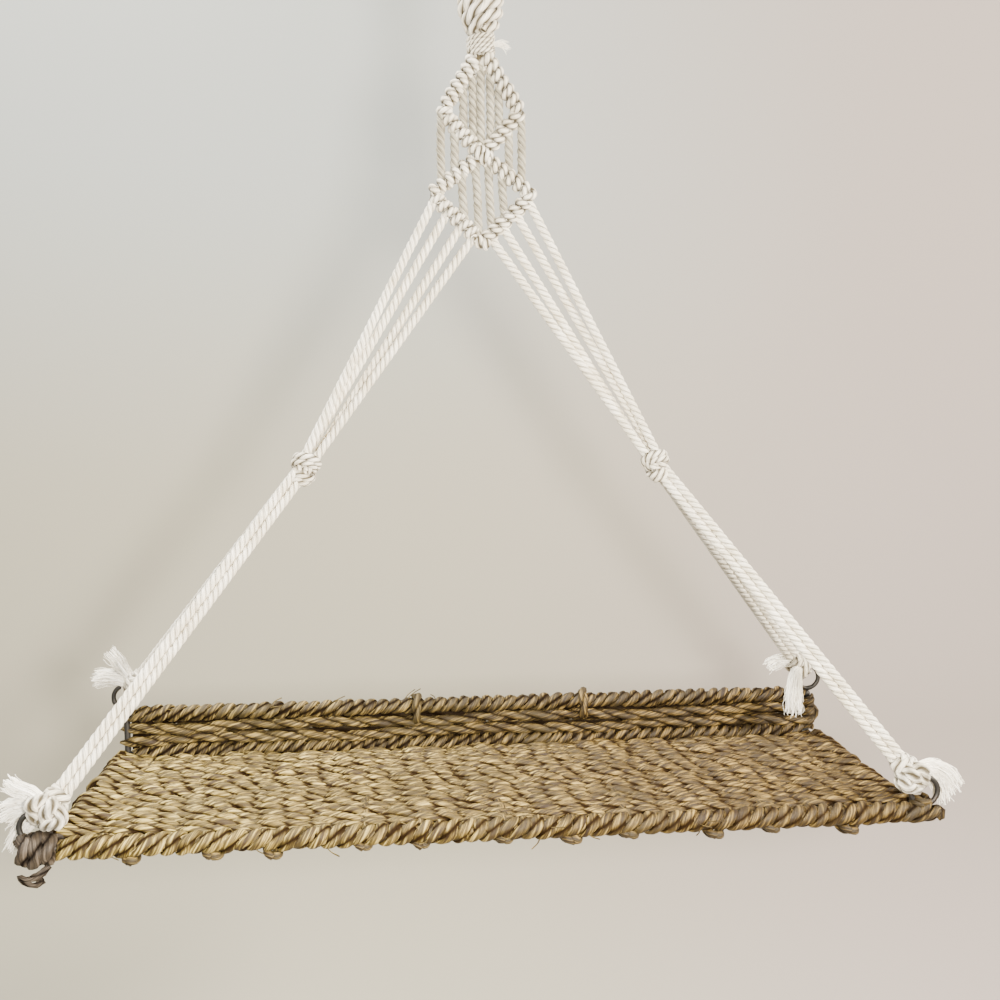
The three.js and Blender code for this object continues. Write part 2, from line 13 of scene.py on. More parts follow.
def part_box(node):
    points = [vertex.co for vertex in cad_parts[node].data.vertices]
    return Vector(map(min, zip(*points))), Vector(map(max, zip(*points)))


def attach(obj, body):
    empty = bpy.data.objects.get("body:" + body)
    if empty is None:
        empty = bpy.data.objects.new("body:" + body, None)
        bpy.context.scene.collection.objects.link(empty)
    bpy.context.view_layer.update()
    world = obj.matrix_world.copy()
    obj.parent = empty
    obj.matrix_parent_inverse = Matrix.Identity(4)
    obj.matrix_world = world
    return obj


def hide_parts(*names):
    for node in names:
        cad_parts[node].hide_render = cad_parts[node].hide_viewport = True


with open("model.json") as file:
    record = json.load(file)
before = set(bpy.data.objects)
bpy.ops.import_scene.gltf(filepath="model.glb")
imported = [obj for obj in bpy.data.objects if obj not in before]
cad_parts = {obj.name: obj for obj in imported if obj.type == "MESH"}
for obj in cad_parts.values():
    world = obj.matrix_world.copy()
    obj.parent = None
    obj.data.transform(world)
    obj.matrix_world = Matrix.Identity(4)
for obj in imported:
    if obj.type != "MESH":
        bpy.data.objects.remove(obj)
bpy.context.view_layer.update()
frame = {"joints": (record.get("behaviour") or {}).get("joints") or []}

LOG = logging.getLogger("hanging_shelf")
TURN = 2 * math.pi
UP = Vector((0, 0, 1))
ACROSS = Vector((1, 0, 0))
BACK = Vector((0, 1, 0))

# Short names for the kinds of node, and for the settings, that the trees use again and again
MATH, VECTOR_MATH, NOISE = "ShaderNodeMath", "ShaderNodeVectorMath", "ShaderNodeTexNoise"
RANGE, MIX, BUMP = "ShaderNodeMapRange", "ShaderNodeMix", "ShaderNodeBump"
COMBINE, SEPARATE, COORDINATES = "ShaderNodeCombineXYZ", "ShaderNodeSeparateXYZ", "ShaderNodeTexCoord"
ATTRIBUTE, PRINCIPLED = "ShaderNodeAttribute", "ShaderNodeBsdfPrincipled"
READ, STORE = "GeometryNodeInputNamedAttribute", "GeometryNodeStoreNamedAttribute"
SHIFT = "GeometryNodeSetPosition"
PLUS, LESS, TIMES, TIMES_PLUS, OVER, COSINE, SINE, ANGLE, CROSS, DOT, UNIT, SCALED = (
    {"operation": name} for name in (
        "ADD", "SUBTRACT", "MULTIPLY", "MULTIPLY_ADD", "DIVIDE", "COSINE", "SINE", "ARCTAN2", "CROSS_PRODUCT",
        "DOT_PRODUCT", "NORMALIZE", "SCALE"))
COLOUR, SMOOTH, FOUR_WAYS = {"data_type": "RGBA"}, {"interpolation_type": "SMOOTHSTEP"}, {"noise_dimensions": "4D"}
VECTOR, NUMBER = ({"data_type": kind, "domain": "POINT"} for kind in ("FLOAT_VECTOR", "FLOAT"))


# ---- Small helpers


def metres(value: float) -> float:
    """Turn millimetres into metres."""
    return value / 1000


def linear(hex_colour: str) -> tuple[float, float, float, float]:
    """Turn an sRGB hex colour into linear RGBA.

    Args:
        hex_colour: six hex digits with a leading hash sign.

    Returns:
        Linear red, green and blue, and an alpha of one.
    """
    def channel(start: int) -> float:
        """Turn one pair of digits into a linear share."""
        share = int(hex_colour[start:start + 2], 16) / 255
        return share / 12.92 if share <= 0.04045 else ((share + 0.055) / 1.055) ** 2.4

    return (channel(1), channel(3), channel(5), 1.0)


def add_node(
    tree: bpy.types.NodeTree, name: str, kind: str,
    settings: dict[str, Any] | None = None, inputs: dict[str | int, Any] | list[Any] | None = None,
) -> bpy.types.Node:
    """Add one node with its settings, its values and its links from nodes that are there already.

    Args:
        tree: the tree that takes the node.
        name: the name that later nodes link from.
        kind: Blender's type of node.
        settings: the node's own properties.
        inputs: for each socket a value, the name of the node whose first output feeds it, or (name, output).

    Returns:
        The new node.
    """
    node = tree.nodes.new(kind)
    node.name = name
    for key, value in (settings or {}).items():
        setattr(node, key, value)
    for key, value in (dict(enumerate(inputs)) if isinstance(inputs, list) else inputs or {}).items():
        if isinstance(value, str) and key != "Name":
            value = (value, 0)
        if isinstance(value, tuple) and isinstance(value[0], str):
            tree.links.new(tree.nodes[value[0]].outputs[value[1]], node.inputs[key])
        else:
            node.inputs[key].default_value = value
    return node


def grow(tree: bpy.types.NodeTree, rows: Iterable[tuple]) -> None:
    """Add a row of nodes, each given as the arguments that add_node takes after the tree."""
    for row in rows:
        add_node(tree, *row)


def smooth_route(points: Sequence[Vector], steps: int) -> list[Vector]:
    """Run a smooth curve through points.

    Args:
        points: the points to pass through.
        steps: how many steps each span is cut into.

    Returns:
        The points of a Catmull-Rom curve, both ends included.
    """
    ends = [points[0] * 2 - points[1], *points, points[-1] * 2 - points[-2]]
    route = []
    for a, b, c, d in zip(ends, ends[1:], ends[2:], ends[3:]):
        for step in range(steps):
            t = step / steps
            route.append(
                0.5 * ((2 * b) + (c - a) * t + (2 * a - 5 * b + 4 * c - d) * t * t
                       + (3 * b - a - 3 * c + d) * t ** 3))
    return route + [points[-1].copy()]


def smooth_mesh(
    name: str, points: list[Any], faces: list[tuple[int, ...]], material: bpy.types.Material,
) -> bpy.types.Object:
    """Make a smooth piece from its points and faces.

    Args:
        name: the piece's name.
        points: its points, in metres.
        faces: its faces, as numbers of points.
        material: its material.

    Returns:
        The piece.
    """
    mesh = bpy.data.meshes.new(name)
    mesh.from_pydata(points, [], faces)
    mesh.shade_smooth()
    mesh.materials.append(material)
    piece = bpy.data.objects.new(name, mesh)
    bpy.context.scene.collection.objects.link(piece)
    return piece


def route_length(points: Sequence[Vector]) -> float:
    """Add up the distances from each point to the next."""
    return sum((b - a).length for a, b in zip(points, points[1:]))


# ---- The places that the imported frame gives


@dataclass(frozen=True)
class Places:
    """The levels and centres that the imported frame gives, in millimetres."""

    swing: float
    ball: float
    twist: float
    tilt: float
    apex: Vector
    tray: float
    front_y: float
    back_y: float
    rail_rise: float
    mid_knot_reach: float
    eyes: dict[str, Vector]

    @staticmethod
    def centre(node: str) -> Vector:
        """Find the middle of a node's box."""
        low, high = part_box(node)
        return (low + high) * 500

    @classmethod
    def from_frame(cls, joints: Sequence[dict[str, Any]]) -> "Places":
        """Read the places from the frame's joints and boxes.

        Args:
            joints: the frame's joints, with their points in metres.

        Returns:
            The places in millimetres.
        """
        level = {joint["name"]: joint["pos_m"][2] * 1000 for joint in joints}
        front, back = cls.centre("front_winding"), cls.centre("back_winding")
        corners = ("front_left", "front_right", "back_left", "back_right")
        return cls(
            swing=level["hanger_swing"], ball=level["side_sway"], twist=level["twist"],
            tilt=level["tray_tilt"], apex=cls.centre("top_knot"), tray=front.z,
            front_y=front.y, back_y=back.y, rail_rise=cls.centre("top_winding").z - front.z,
            mid_knot_reach=cls.centre("mid_knot_right").x,
            eyes={name: cls.centre(f"eye_{name}") for name in corners},
        )


# ---- Finishes


class Slot(Enum):
    """The record's material slots."""

    COTTON = "cotton"
    SEAGRASS = "seagrass"
    DARK_STEEL = "dark_steel"
    BRIGHT_STEEL = "bright_steel"


def make_material(name: str, rows: Iterable[tuple], last: str = "shader") -> bpy.types.Material:
    """Make a material from its nodes.

    Args:
        name: the finish's name.
        rows: the nodes, for grow.
        last: the node that gives the surface.

    Returns:
        The material.
    """
    material = bpy.data.materials.new(name)
    material.use_nodes = True
    material.node_tree.nodes.clear()
    grow(material.node_tree, [*rows, ("output", "ShaderNodeOutputMaterial", {}, {"Surface": (last, 0)})])
    return material


# Each cord mesh carries "lay": the cosine and sine of the place round its strand, and the place along
# it in metres, "strand": a number of its own for each strand, and "depth": how far out of the cord's
# middle a point is, as a share, less on its flanks; a low depth gets painted shade. Turning the angle
# with the place along gives the run of the yarns or leaves round the strand, with no seam.
def strand_rows(winds_per_metre: float, stretch: float, fold: tuple[float, float]) -> list[tuple]:
    """List the nodes that unwind a strand's yarns or leaves.

    Args:
        winds_per_metre: turns of the yarns round the strand in a metre of it.
        stretch: how fast a pattern changes along the strand, in units a metre.
        fold: the depths between which the painted crease shade fades out.

    Returns:
        Rows for grow; "angle" is the unwound angle, "fibre" the seamless coordinate, and the last row the share of
        painted shade in the creases.
    """
    return [
        ("lay", ATTRIBUTE, {"attribute_name": "lay"}),
        ("strand", ATTRIBUTE, {"attribute_name": "strand"}),
        ("parts", SEPARATE, {}, [("lay", "Vector")]),
        ("round", MATH, ANGLE, [("parts", "Y"), ("parts", "X")]),
        ("wound", MATH, TIMES, [("parts", "Z"), winds_per_metre * TURN]),
        ("angle", MATH, PLUS, ["round", "wound"]),
        ("cosine", MATH, COSINE, ["angle"]),
        ("sine", MATH, SINE, ["angle"]),
        ("stretched", MATH, TIMES, [("parts", "Z"), stretch]),
        ("far", MATH, TIMES_PLUS, [("strand", "Fac"), 91.7, "stretched"]),
        ("fibre", COMBINE, {}, ["cosine", "sine", "far"]),
        ("depth", ATTRIBUTE, {"attribute_name": "depth"}),
        # Painted shade: the share of the crease colour, highest where the depth is low
        ("crease_shade", RANGE, SMOOTH,
         {"Value": ("depth", "Fac"), "From Min": fold[0], "From Max": fold[1], "To Min": 1.0, "To Max": 0.0}),
    ]


@dataclass(frozen=True)
class CottonCord:
    """Undyed cotton, twisted from fine yarns: matt, warm white, with the yarns' lines round each strand and painted
    shade in the creases between strands.
    """

    light: str = "#FFF8E7"
    shade: str = "#CFC3A8"
    # Painted shade: the crease colour below is mixed in where the cord lies deep, fading out over the depths in fold
    crease_shade: str = "#4A4231"
    name: str = "twisted_cotton"
    fold: tuple[float, float] = (0.56, 1.0)
    yarns: int = 6
    winds_per_metre: float = 62
    stretch: float = 120
    yarn_height: float = 0.16
    fuzz_scale: float = 2600
    fuzz_height: float = 0.07
    roughness: float = 0.92

    def material(self) -> bpy.types.Material:
        """Build the cotton material.

        Returns:
            The material of every cotton cord, knot and tassel.
        """
        return make_material(self.name, [
            *strand_rows(self.winds_per_metre, self.stretch, self.fold),
            ("spun", MATH, TIMES, ["angle", float(self.yarns)]),
            ("yarn_wave", MATH, SINE, ["spun"]),
            ("place", COORDINATES),
            ("fuzz", NOISE, {},
             {"Vector": ("place", "Object"), "Scale": self.fuzz_scale, "Detail": 3.0, "Roughness": 0.7}),
            ("uneven", NOISE, {}, {"Vector": "fibre", "Scale": 1.3, "Detail": 3.0}),
            ("cloudy", NOISE, {}, {"Vector": ("place", "Object"), "Scale": 90.0, "Detail": 2.0}),
            ("blotch", MATH, TIMES_PLUS, [("uneven", "Fac"), 0.6, ("cloudy", "Fac")]),
            # The yarn wave also darkens the colour a little between the yarns: painted shade in the yarn grooves
            ("groove", MATH, TIMES_PLUS, ["yarn_wave", 0.12, "blotch"]),
            ("tone", RANGE, {}, {"Value": "groove", "From Min": 0.45, "From Max": 1.05}),
            ("colour", MIX, COLOUR, {"Factor": "tone", 6: linear(self.shade), 7: linear(self.light)}),
            # Painted shade: the crease colour mixed into the cotton where it lies deep
            ("folded", MIX, COLOUR, {"Factor": "crease_shade", 6: ("colour", 2), 7: linear(self.crease_shade)}),
            ("yarn_rise", MATH, TIMES, ["yarn_wave", metres(self.yarn_height)]),
            ("rise", MATH, TIMES_PLUS, [("fuzz", "Fac"), metres(self.fuzz_height * 4), "yarn_rise"]),
            ("bump", BUMP, {}, {"Strength": 0.75, "Distance": 1.0, "Height": "rise"}),
            ("shader", PRINCIPLED, {},
             {"Base Color": ("folded", 2), "Roughness": self.roughness, "IOR": 1.5, "Specular IOR Level": 0.15,
              "Sheen Weight": 0.08, "Sheen Roughness": 0.5, "Normal": "bump"}),
        ])


@dataclass(frozen=True)
class CombedCotton:
    """Cotton pulled apart into loose yarns and fibres: brighter than the cord, with no twist left."""

    light: str = "#FFFBEF"
    shade: str = "#E9E0CB"
    roughness: float = 0.95

    def material(self) -> bpy.types.Material:
        """Build the combed cotton material.

        Returns:
            The material of the tassels and wisps.
        """
        return make_material("combed_cotton", [
            ("strand", ATTRIBUTE, {"attribute_name": "strand"}),
            ("own", MATH, TIMES, [("strand", "Fac"), 0.618]),
            ("share", MATH, {"operation": "FRACT"}, ["own"]),
            ("place", COORDINATES),
            ("lumps", NOISE, {}, {"Vector": ("place", "Object"), "Scale": 700.0, "Detail": 2.0}),
            ("tone", MATH, TIMES_PLUS, [("lumps", "Fac"), 0.8, "share"]),
            ("faded", RANGE, {}, {"Value": "tone", "From Min": 0.3, "From Max": 1.2}),
            ("colour", MIX, COLOUR, {"Factor": "faded", 6: linear(self.shade), 7: linear(self.light)}),
            ("shader", PRINCIPLED, {},
             {"Base Color": ("colour", 2), "Roughness": self.roughness, "Specular IOR Level": 0.15,
              "Sheen Weight": 0.25, "Sheen Roughness": 0.6}),
        ])


# How a seagrass strand's leaves run: turns round it in a metre, and pattern units along it in a metre
LEAF_WINDS = 40.0
LEAF_STRETCH = 45.0


@dataclass(frozen=True)
class TwistedSeagrass:
    """Dried seagrass twisted by hand: long glossy-edged leaves, straw to olive, with painted shade in the folds and
    towards the right-hand side.
    """

    straw: str = "#76622A"
    olive: str = "#4C401A"
    brown: str = "#34240D"
    pale: str = "#D4BE72"
    # Painted shade: the crease colour below darkens the folds between leaves and strands, fading out over the depths
    # in fold
    crease_shade: str = "#1E1306"
    fold: tuple[float, float] = (0.5, 0.9)
    leaf_height: float = 0.55
    # Painted shade: over the x span below the seagrass is darkened towards the right by right_tone
    right_shade_span: tuple[float, float] = (-0.24, 0.16)
    right_tone: str = "#B3A696"
    roughness: float = 0.6
    name: str = "twisted_seagrass"

    def material(self) -> bpy.types.Material:
        """Build the seagrass material.

        Returns:
            The material of the woven deck, rails and upstand.
        """
        material = make_material(self.name, [
            *strand_rows(LEAF_WINDS, LEAF_STRETCH, self.fold),
            ("place", COORDINATES),
            ("leaves", NOISE, {}, {"Vector": "fibre", "Scale": 1.9, "Detail": 2.0, "Roughness": 0.45}),
            ("veins", NOISE, {}, {"Vector": "fibre", "Scale": 7.5, "Detail": 4.0, "Roughness": 0.65}),
            ("patches", NOISE, {}, {"Vector": ("place", "Object"), "Scale": 26.0, "Detail": 2.0, "Roughness": 0.6}),
            ("mixed", MATH, TIMES_PLUS, [("leaves", "Fac"), 1.5, -0.26]),
            ("tone", MATH, TIMES_PLUS, [("veins", "Fac"), 0.42, "mixed"]),
            ("ramp", "ShaderNodeValToRGB", {}, {"Fac": "tone"}),
            ("tint_share", RANGE, {},
             {"Value": ("patches", "Fac"), "From Min": 0.42, "From Max": 0.7, "To Max": 0.6}),
            ("tint", MIX, COLOUR, {"Factor": "tint_share", 6: ("ramp", "Color"), 7: linear(self.olive)}),
            # Painted shade on the right-hand side: the colour is multiplied by right_tone towards the right
            ("parts_here", SEPARATE, {}, [("place", "Object")]),
            ("to_right", RANGE, SMOOTH,
             {"Value": ("parts_here", "X"), "From Min": self.right_shade_span[0], "From Max": self.right_shade_span[1]}),
            ("painted_right_shade", MIX, {"data_type": "RGBA", "blend_type": "MULTIPLY"},
             {"Factor": "to_right", 6: ("tint", 2), 7: linear(self.right_tone)}),
            # Painted shade: the crease colour mixed into the seagrass where it lies deep
            ("folded", MIX, COLOUR, {"Factor": "crease_shade", 6: ("painted_right_shade", 2), 7: linear(self.crease_shade)}),
            ("vein_rise", MATH, TIMES, [("veins", "Fac"), metres(self.leaf_height * 0.5)]),
            ("rise", MATH, TIMES_PLUS, [("leaves", "Fac"), metres(self.leaf_height * 1.6), "vein_rise"]),
            ("bump", BUMP, {}, {"Strength": 0.9, "Distance": 1.0, "Height": "rise"}),
            ("gloss", RANGE, {},
             {"Value": ("veins", "Fac"), "From Min": 0.3, "From Max": 0.7, "To Min": self.roughness + 0.12,
              "To Max": self.roughness - 0.1}),
            # Painted shade also turns the specular down in the creases
            ("shine", RANGE, {}, {"Value": "crease_shade", "To Min": 0.38, "To Max": 0.04}),
            ("shader", PRINCIPLED, {},
             {"Base Color": ("folded", 2), "Roughness": "gloss", "IOR": 1.45, "Specular IOR Level": "shine",
              "Normal": "bump"}),
        ])
        stops = material.node_tree.nodes["ramp"].color_ramp.elements
        stops[0].position, stops[0].color = 0.5, linear(self.brown)
        stops[1].position, stops[1].color = 1.0, linear(self.pale)
        for position, colour in ((0.63, self.olive), (0.77, self.straw)):
            stop = stops.new(position)
            stop.color = linear(colour)
        return material


@dataclass(frozen=True)
class Steel:
    """Steel wire: drawn and dull on the tray, polished on the ring."""

    name: str
    colour: str
    roughness: float
    metallic: float
    scratch_scale: float
    rust: str
    rust_share: float

    def material(self) -> bpy.types.Material:
        """Build a steel material.

        Returns:
            The material, with faint draw marks and dull patches.
        """
        return make_material(self.name, [
            ("place", COORDINATES),
            ("marks", NOISE, {},
             {"Vector": ("place", "Object"), "Scale": self.scratch_scale, "Detail": 4.0, "Roughness": 0.7}),
            ("patches", NOISE, {}, {"Vector": ("place", "Object"), "Scale": 120.0, "Detail": 3.0}),
            ("share", RANGE, {},
             {"Value": ("patches", "Fac"), "From Min": 0.5, "From Max": 0.75, "To Max": self.rust_share}),
            ("colour", MIX, COLOUR, {"Factor": "share", 6: linear(self.colour), 7: linear(self.rust)}),
            ("gloss", RANGE, {},
             {"Value": ("marks", "Fac"), "To Min": self.roughness - 0.08, "To Max": self.roughness + 0.14}),
            ("bump", BUMP, {}, {"Strength": 0.25, "Distance": 0.0002, "Height": ("marks", "Fac")}),
            ("shader", PRINCIPLED, {},
             {"Base Color": ("colour", 2), "Metallic": self.metallic, "Roughness": "gloss", "Normal": "bump"}),
        ])


@dataclass(frozen=True)
class Plaster:
    """Painted plaster for the studio: pale and matt, warm low down in the middle, pinkish at the lower right."""

    cool: str = "#9EA19D"
    warm: str = "#9D9888"
    pink: str = "#A0968F"
    reach: float = 0.55
    roughness: float = 0.9
    whole_to: float = 1.1
    gone_from: float = 2.4

    def material(self) -> bpy.types.Material:
        """Build the studio's material.

        Returns:
            The material of the wall and the floor.
        """
        return make_material("painted_plaster", [
            ("place", COORDINATES),
            ("parts", SEPARATE, {}, [("place", "Object")]),
            ("low", RANGE, SMOOTH, {"Value": ("parts", "Z"), "From Min": -0.05, "From Max": -0.45}),
            ("right", RANGE, SMOOTH, {"Value": ("parts", "X"), "From Min": -0.1, "From Max": self.reach}),
            ("warmed", MIX, COLOUR, {"Factor": "low", 6: linear(self.cool), 7: linear(self.warm)}),
            ("colour", MIX, COLOUR, {"Factor": "right", 6: ("warmed", 2), 7: linear(self.pink)}),
            ("grain", NOISE, {}, {"Vector": ("place", "Object"), "Scale": 420.0, "Detail": 3.0}),
            ("bump", BUMP, {}, {"Strength": 0.05, "Distance": 0.001, "Height": ("grain", "Fac")}),
            ("shader", PRINCIPLED, {},
             {"Base Color": ("colour", 2), "Roughness": self.roughness, "Specular IOR Level": 0.1, "Normal": "bump"}),
            # Seen from behind, the wall lets the view through, and far away it fades into the air
            ("flat", VECTOR_MATH, TIMES, [("place", "Object"), (1.0, 1.0, 0.0)]),
            ("away", VECTOR_MATH, {"operation": "LENGTH"}, ["flat"]),
            ("faded", RANGE, SMOOTH,
             {"Value": ("away", "Value"), "From Min": self.whole_to, "From Max": self.gone_from}),
            ("faces", "ShaderNodeNewGeometry"),
            ("gone", MATH, {"operation": "MAXIMUM"}, [("faces", "Backfacing"), "faded"]),
            ("clear", "ShaderNodeBsdfTransparent"),
            ("one_sided", "ShaderNodeMixShader", {}, ["gone", "shader", "clear"]),
        ], "one_sided")


@dataclass(frozen=True)
class Coat:
    """A finish's material with the record's slot that it belongs to."""

    material: bpy.types.Material
    slot: Slot


def coat(slot: Slot, finish: CottonCord | CombedCotton | TwistedSeagrass | Steel) -> Any:
    """Leave a field that makes a finish's material when it is first filled.

    Args:
        slot: the record's slot.
        finish: the finish.

    Returns:
        A dataclass field that holds a Coat.
    """
    return field(default_factory=lambda: Coat(finish.material(), slot))


@dataclass
class Finishes:
    """The finishes of the whole object, each made once."""

    cotton: Coat = coat(Slot.COTTON, CottonCord())
    # A darker copy of the cotton: painted shade for the cords inside and beside the diamonds
    shaded_cotton: Coat = coat(Slot.COTTON, CottonCord(
        light="#B9B3A0", shade="#857D68", crease_shade="#31291B", name="shaded_cotton"))
    combed: Coat = coat(Slot.COTTON, CombedCotton())
    seagrass: Coat = coat(Slot.SEAGRASS, TwistedSeagrass())
    # Its right_tone paints a lighter shade on the right than the straw seagrass's
    brown_seagrass: Coat = coat(Slot.SEAGRASS, TwistedSeagrass(
        straw="#5C4B25", olive="#3D3418", brown="#291C0C", pale="#AB9456", crease_shade="#150D05",
        right_tone="#CFC5B9", name="weathered_seagrass"))
    # A darker copy of the seagrass: painted shade for the left rail lump, which lies in shadow
    dark_shaded_seagrass: Coat = coat(Slot.SEAGRASS, TwistedSeagrass(
        straw="#3F3529", olive="#2F271D", brown="#1D1610", pale="#665A4C", crease_shade="#100B07",
        name="shaded_seagrass"))
    dark_steel: Coat = coat(Slot.DARK_STEEL, Steel(
        "drawn_steel_wire", "#3A3835", 0.5, 0.85, 700, "#4C3B2E", 0.5))
    bright_steel: Coat = coat(Slot.BRIGHT_STEEL, Steel(
        "polished_steel_ring", "#B9BABB", 0.26, 1.0, 900, "#8F9091", 0.25))


# ---- Cords laid by Geometry Nodes


@dataclass
class Route:
    """The middle line of one cord, with what its cross-section does along it.

    Args:
        points: the line's points.
        out: the direction that the section's first axis keeps to, one for all or one a point.
        press: how far the cord is squeezed along out, at each point; one is round.
        swell: how thick the cord is, at each point, as a share of its full size.
        sink: how much painted shade falls on its out side at each point, as if it lay deep between its neighbours;
            below zero that side is painted lighter.
    """

    points: list[Vector]
    out: list[Vector] | Vector
    press: list[float] | float = 1.0
    swell: list[float] | float = 1.0
    sink: list[float] | float = 0.0

    @staticmethod
    def straight(start: Vector, end: Vector, out: Vector) -> "Route":
        """Run a straight cord from start to end."""
        return Route([start.lerp(end, share / 8) for share in range(9)], out)

    @staticmethod
    def through(points: Sequence[Vector], out: Vector, press: float = 1.0, steps: int = 8) -> "Route":
        """Run a smooth cord through points, with one direction for its section."""
        return Route(smooth_route(points, steps), out, press)


@dataclass(frozen=True)
class Ply:
    """How a cord is laid from its strands, in millimetres; bury is how strongly painted shade darkens its flanks."""

    strands: int
    strand_radius: float
    offset: float
    lay: float
    step: float
    sides: int
    wander: float = 0.0
    wander_size: float = 12.0
    rough: float = 0.0
    ridge: float = 0.0
    bury: float = 0.0
    seed: int = 3


def mesh_of_routes(name: str, routes: Sequence[Route]) -> bpy.types.Mesh:
    """Make a mesh of edges along routes, with their section values as point attributes.

    Args:
        name: the mesh's name.
        routes: the routes, in millimetres.

    Returns:
        The mesh, in metres.
    """
    points, edges = [], []
    rows: dict[str, list[Any]] = {"out": [], "press": [], "swell": [], "sink": []}
    for route in routes:
        count, start = len(route.points), len(points)
        points += [point / 1000 for point in route.points]
        edges += [(start + i, start + i + 1) for i in range(count - 1)]
        for key, row in rows.items():
            value = getattr(route, key)
            row += value if isinstance(value, list) else [value] * count
    mesh = bpy.data.meshes.new(name)
    mesh.from_pydata(points, edges, [])
    mesh.attributes.new("out", "FLOAT_VECTOR", "POINT").data.foreach_set(
        "vector", [number for out in rows.pop("out") for number in out])
    for key, row in rows.items():
        mesh.attributes.new(key, "FLOAT", "POINT").data.foreach_set("value", row)
    return mesh


def new_tree(name: str, inputs: dict[str, Sequence[str]]) -> bpy.types.NodeTree:
    """Make an empty Geometry Nodes tree with named inputs and a material input.

    Args:
        name: the tree's name.
        inputs: the inputs' names, by their kind of socket.

    Returns:
        The tree, with its input node named "in".
    """
    tree = bpy.data.node_groups.new(name, "GeometryNodeTree")
    for kind, sockets in {"Geometry": ["Geometry"], **inputs, "Material": ["Material"]}.items():
        for socket in sockets:
            tree.interface.new_socket(socket, in_out="INPUT", socket_type=f"NodeSocket{kind}")
    tree.interface.new_socket("Geometry", in_out="OUTPUT", socket_type="NodeSocketGeometry")
    add_node(tree, "in", "NodeGroupInput")
    return tree


def apply_tree(name: str, mesh: bpy.types.Mesh, tree: bpy.types.NodeTree, values: dict[str, Any]) -> bpy.types.Object:
    """Run a mesh through a Geometry Nodes tree and keep the result as a plain mesh.

    Args:
        name: the piece's name.
        mesh: what goes into the tree.
        tree: the tree.
        values: each named input's value.

    Returns:
        The finished piece, at the origin, with no modifier left on it.
    """
    piece = bpy.data.objects.new(name, mesh)
    bpy.context.scene.collection.objects.link(piece)
    modifier = piece.modifiers.new("laid", "NODES")
    modifier.node_group = tree
    identifiers = {
        item.name: item.identifier for item in tree.interface.items_tree if item.in_out == "INPUT"}
    for key, value in values.items():
        modifier[identifiers[key]] = value
    depsgraph = bpy.context.evaluated_depsgraph_get()
    made = bpy.data.meshes.new_from_object(
        piece.evaluated_get(depsgraph), preserve_all_data_layers=True, depsgraph=depsgraph)
    piece.modifiers.clear()
    piece.data = made
    made.name = name
    bpy.data.meshes.remove(mesh)
    return piece


# What a tree reads again after it has stored it, or finds on the routes
NAMED = {"FLOAT_VECTOR": ("out", "centre", "over", "side", "section"),
         "FLOAT": ("along", "factor", "press", "swell", "sink")}
SPENT = [name for names in NAMED.values() for name in names]


def copy_rows(mode: str, spacing: dict[str, Any], copies: str) -> list[tuple]:
    """List the nodes that space out each route's points, keep how they stand and copy the route.

    Args:
        mode: how the points are spaced, LENGTH or COUNT.
        spacing: the length or the count.
        copies: the input that says how many copies there are.

    Returns:
        Rows for grow; "several" holds the copies, and each kept value is read by its name.
    """
    rows = [
        ("curve", "GeometryNodeMeshToCurve", {}, {"Mesh": ("in", "Geometry")}),
        ("even", "GeometryNodeResampleCurve", {"mode": mode}, {"Curve": "curve", **spacing}),
        ("here", "GeometryNodeInputPosition"),
        ("tangent", "GeometryNodeInputTangent"),
        ("spline", "GeometryNodeSplineParameter"),
    ]
    rows += [(name, READ, {"data_type": kind}, {"Name": name}) for kind, names in NAMED.items() for name in names]
    rows += [
        ("over_raw", VECTOR_MATH, CROSS, ["tangent", "out"]),
        ("over_unit", VECTOR_MATH, UNIT, ["over_raw"]),
        ("out_unit", VECTOR_MATH, CROSS, ["over_unit", "tangent"]),
    ]
    last = "even"
    for name, kind, source in (("centre", VECTOR, ("here", 0)), ("over", VECTOR, ("over_unit", 0)),
                               ("side", VECTOR, ("out_unit", 0)), ("along", NUMBER, ("spline", "Length")),
                               ("factor", NUMBER, ("spline", "Factor"))):
        rows.append((f"keep_{name}", STORE, kind, {"Geometry": (last, 0), "Name": name, "Value": source}))
        last = f"keep_{name}"
    return rows + [("several", "GeometryNodeDuplicateElements", {"domain": "SPLINE"},
                    {"Geometry": (last, 0), "Amount": ("in", copies)})]


def spread_rows(stray: tuple[str, str | int]) -> list[tuple]:
    """List the nodes that move each copy out round its route by "cosine", "sine" and "reach".

    Args:
        stray: the node that says how far a copy strays in the noise of its "salt".

    Returns:
        Rows for grow; "named" holds the copies, each with its salt as its "strand".
    """
    return [
        ("to_side", VECTOR_MATH, SCALED, {0: "side", "Scale": "cosine"}),
        ("to_over", VECTOR_MATH, SCALED, {0: "over", "Scale": "sine"}),
        ("around", VECTOR_MATH, PLUS, ["to_side", "to_over"]),
        ("shift", VECTOR_MATH, SCALED, {0: "around", "Scale": "reach"}),
        ("noise", NOISE, FOUR_WAYS,
         {"Vector": "centre", "W": "salt", "Scale": ("in", "Wander Scale"), "Detail": 1.0}),
        ("centred", VECTOR_MATH, LESS, [("noise", "Color"), (0.5, 0.5, 0.5)]),
        ("stray", VECTOR_MATH, SCALED, {0: "centred", "Scale": stray}),
        ("moved", VECTOR_MATH, PLUS, ["shift", "stray"]),
        ("placed", SHIFT, {}, {"Geometry": ("several", "Geometry"), "Offset": "moved"}),
        ("named", STORE, NUMBER, {"Geometry": "placed", "Name": "strand", "Value": "salt"}),
    ]


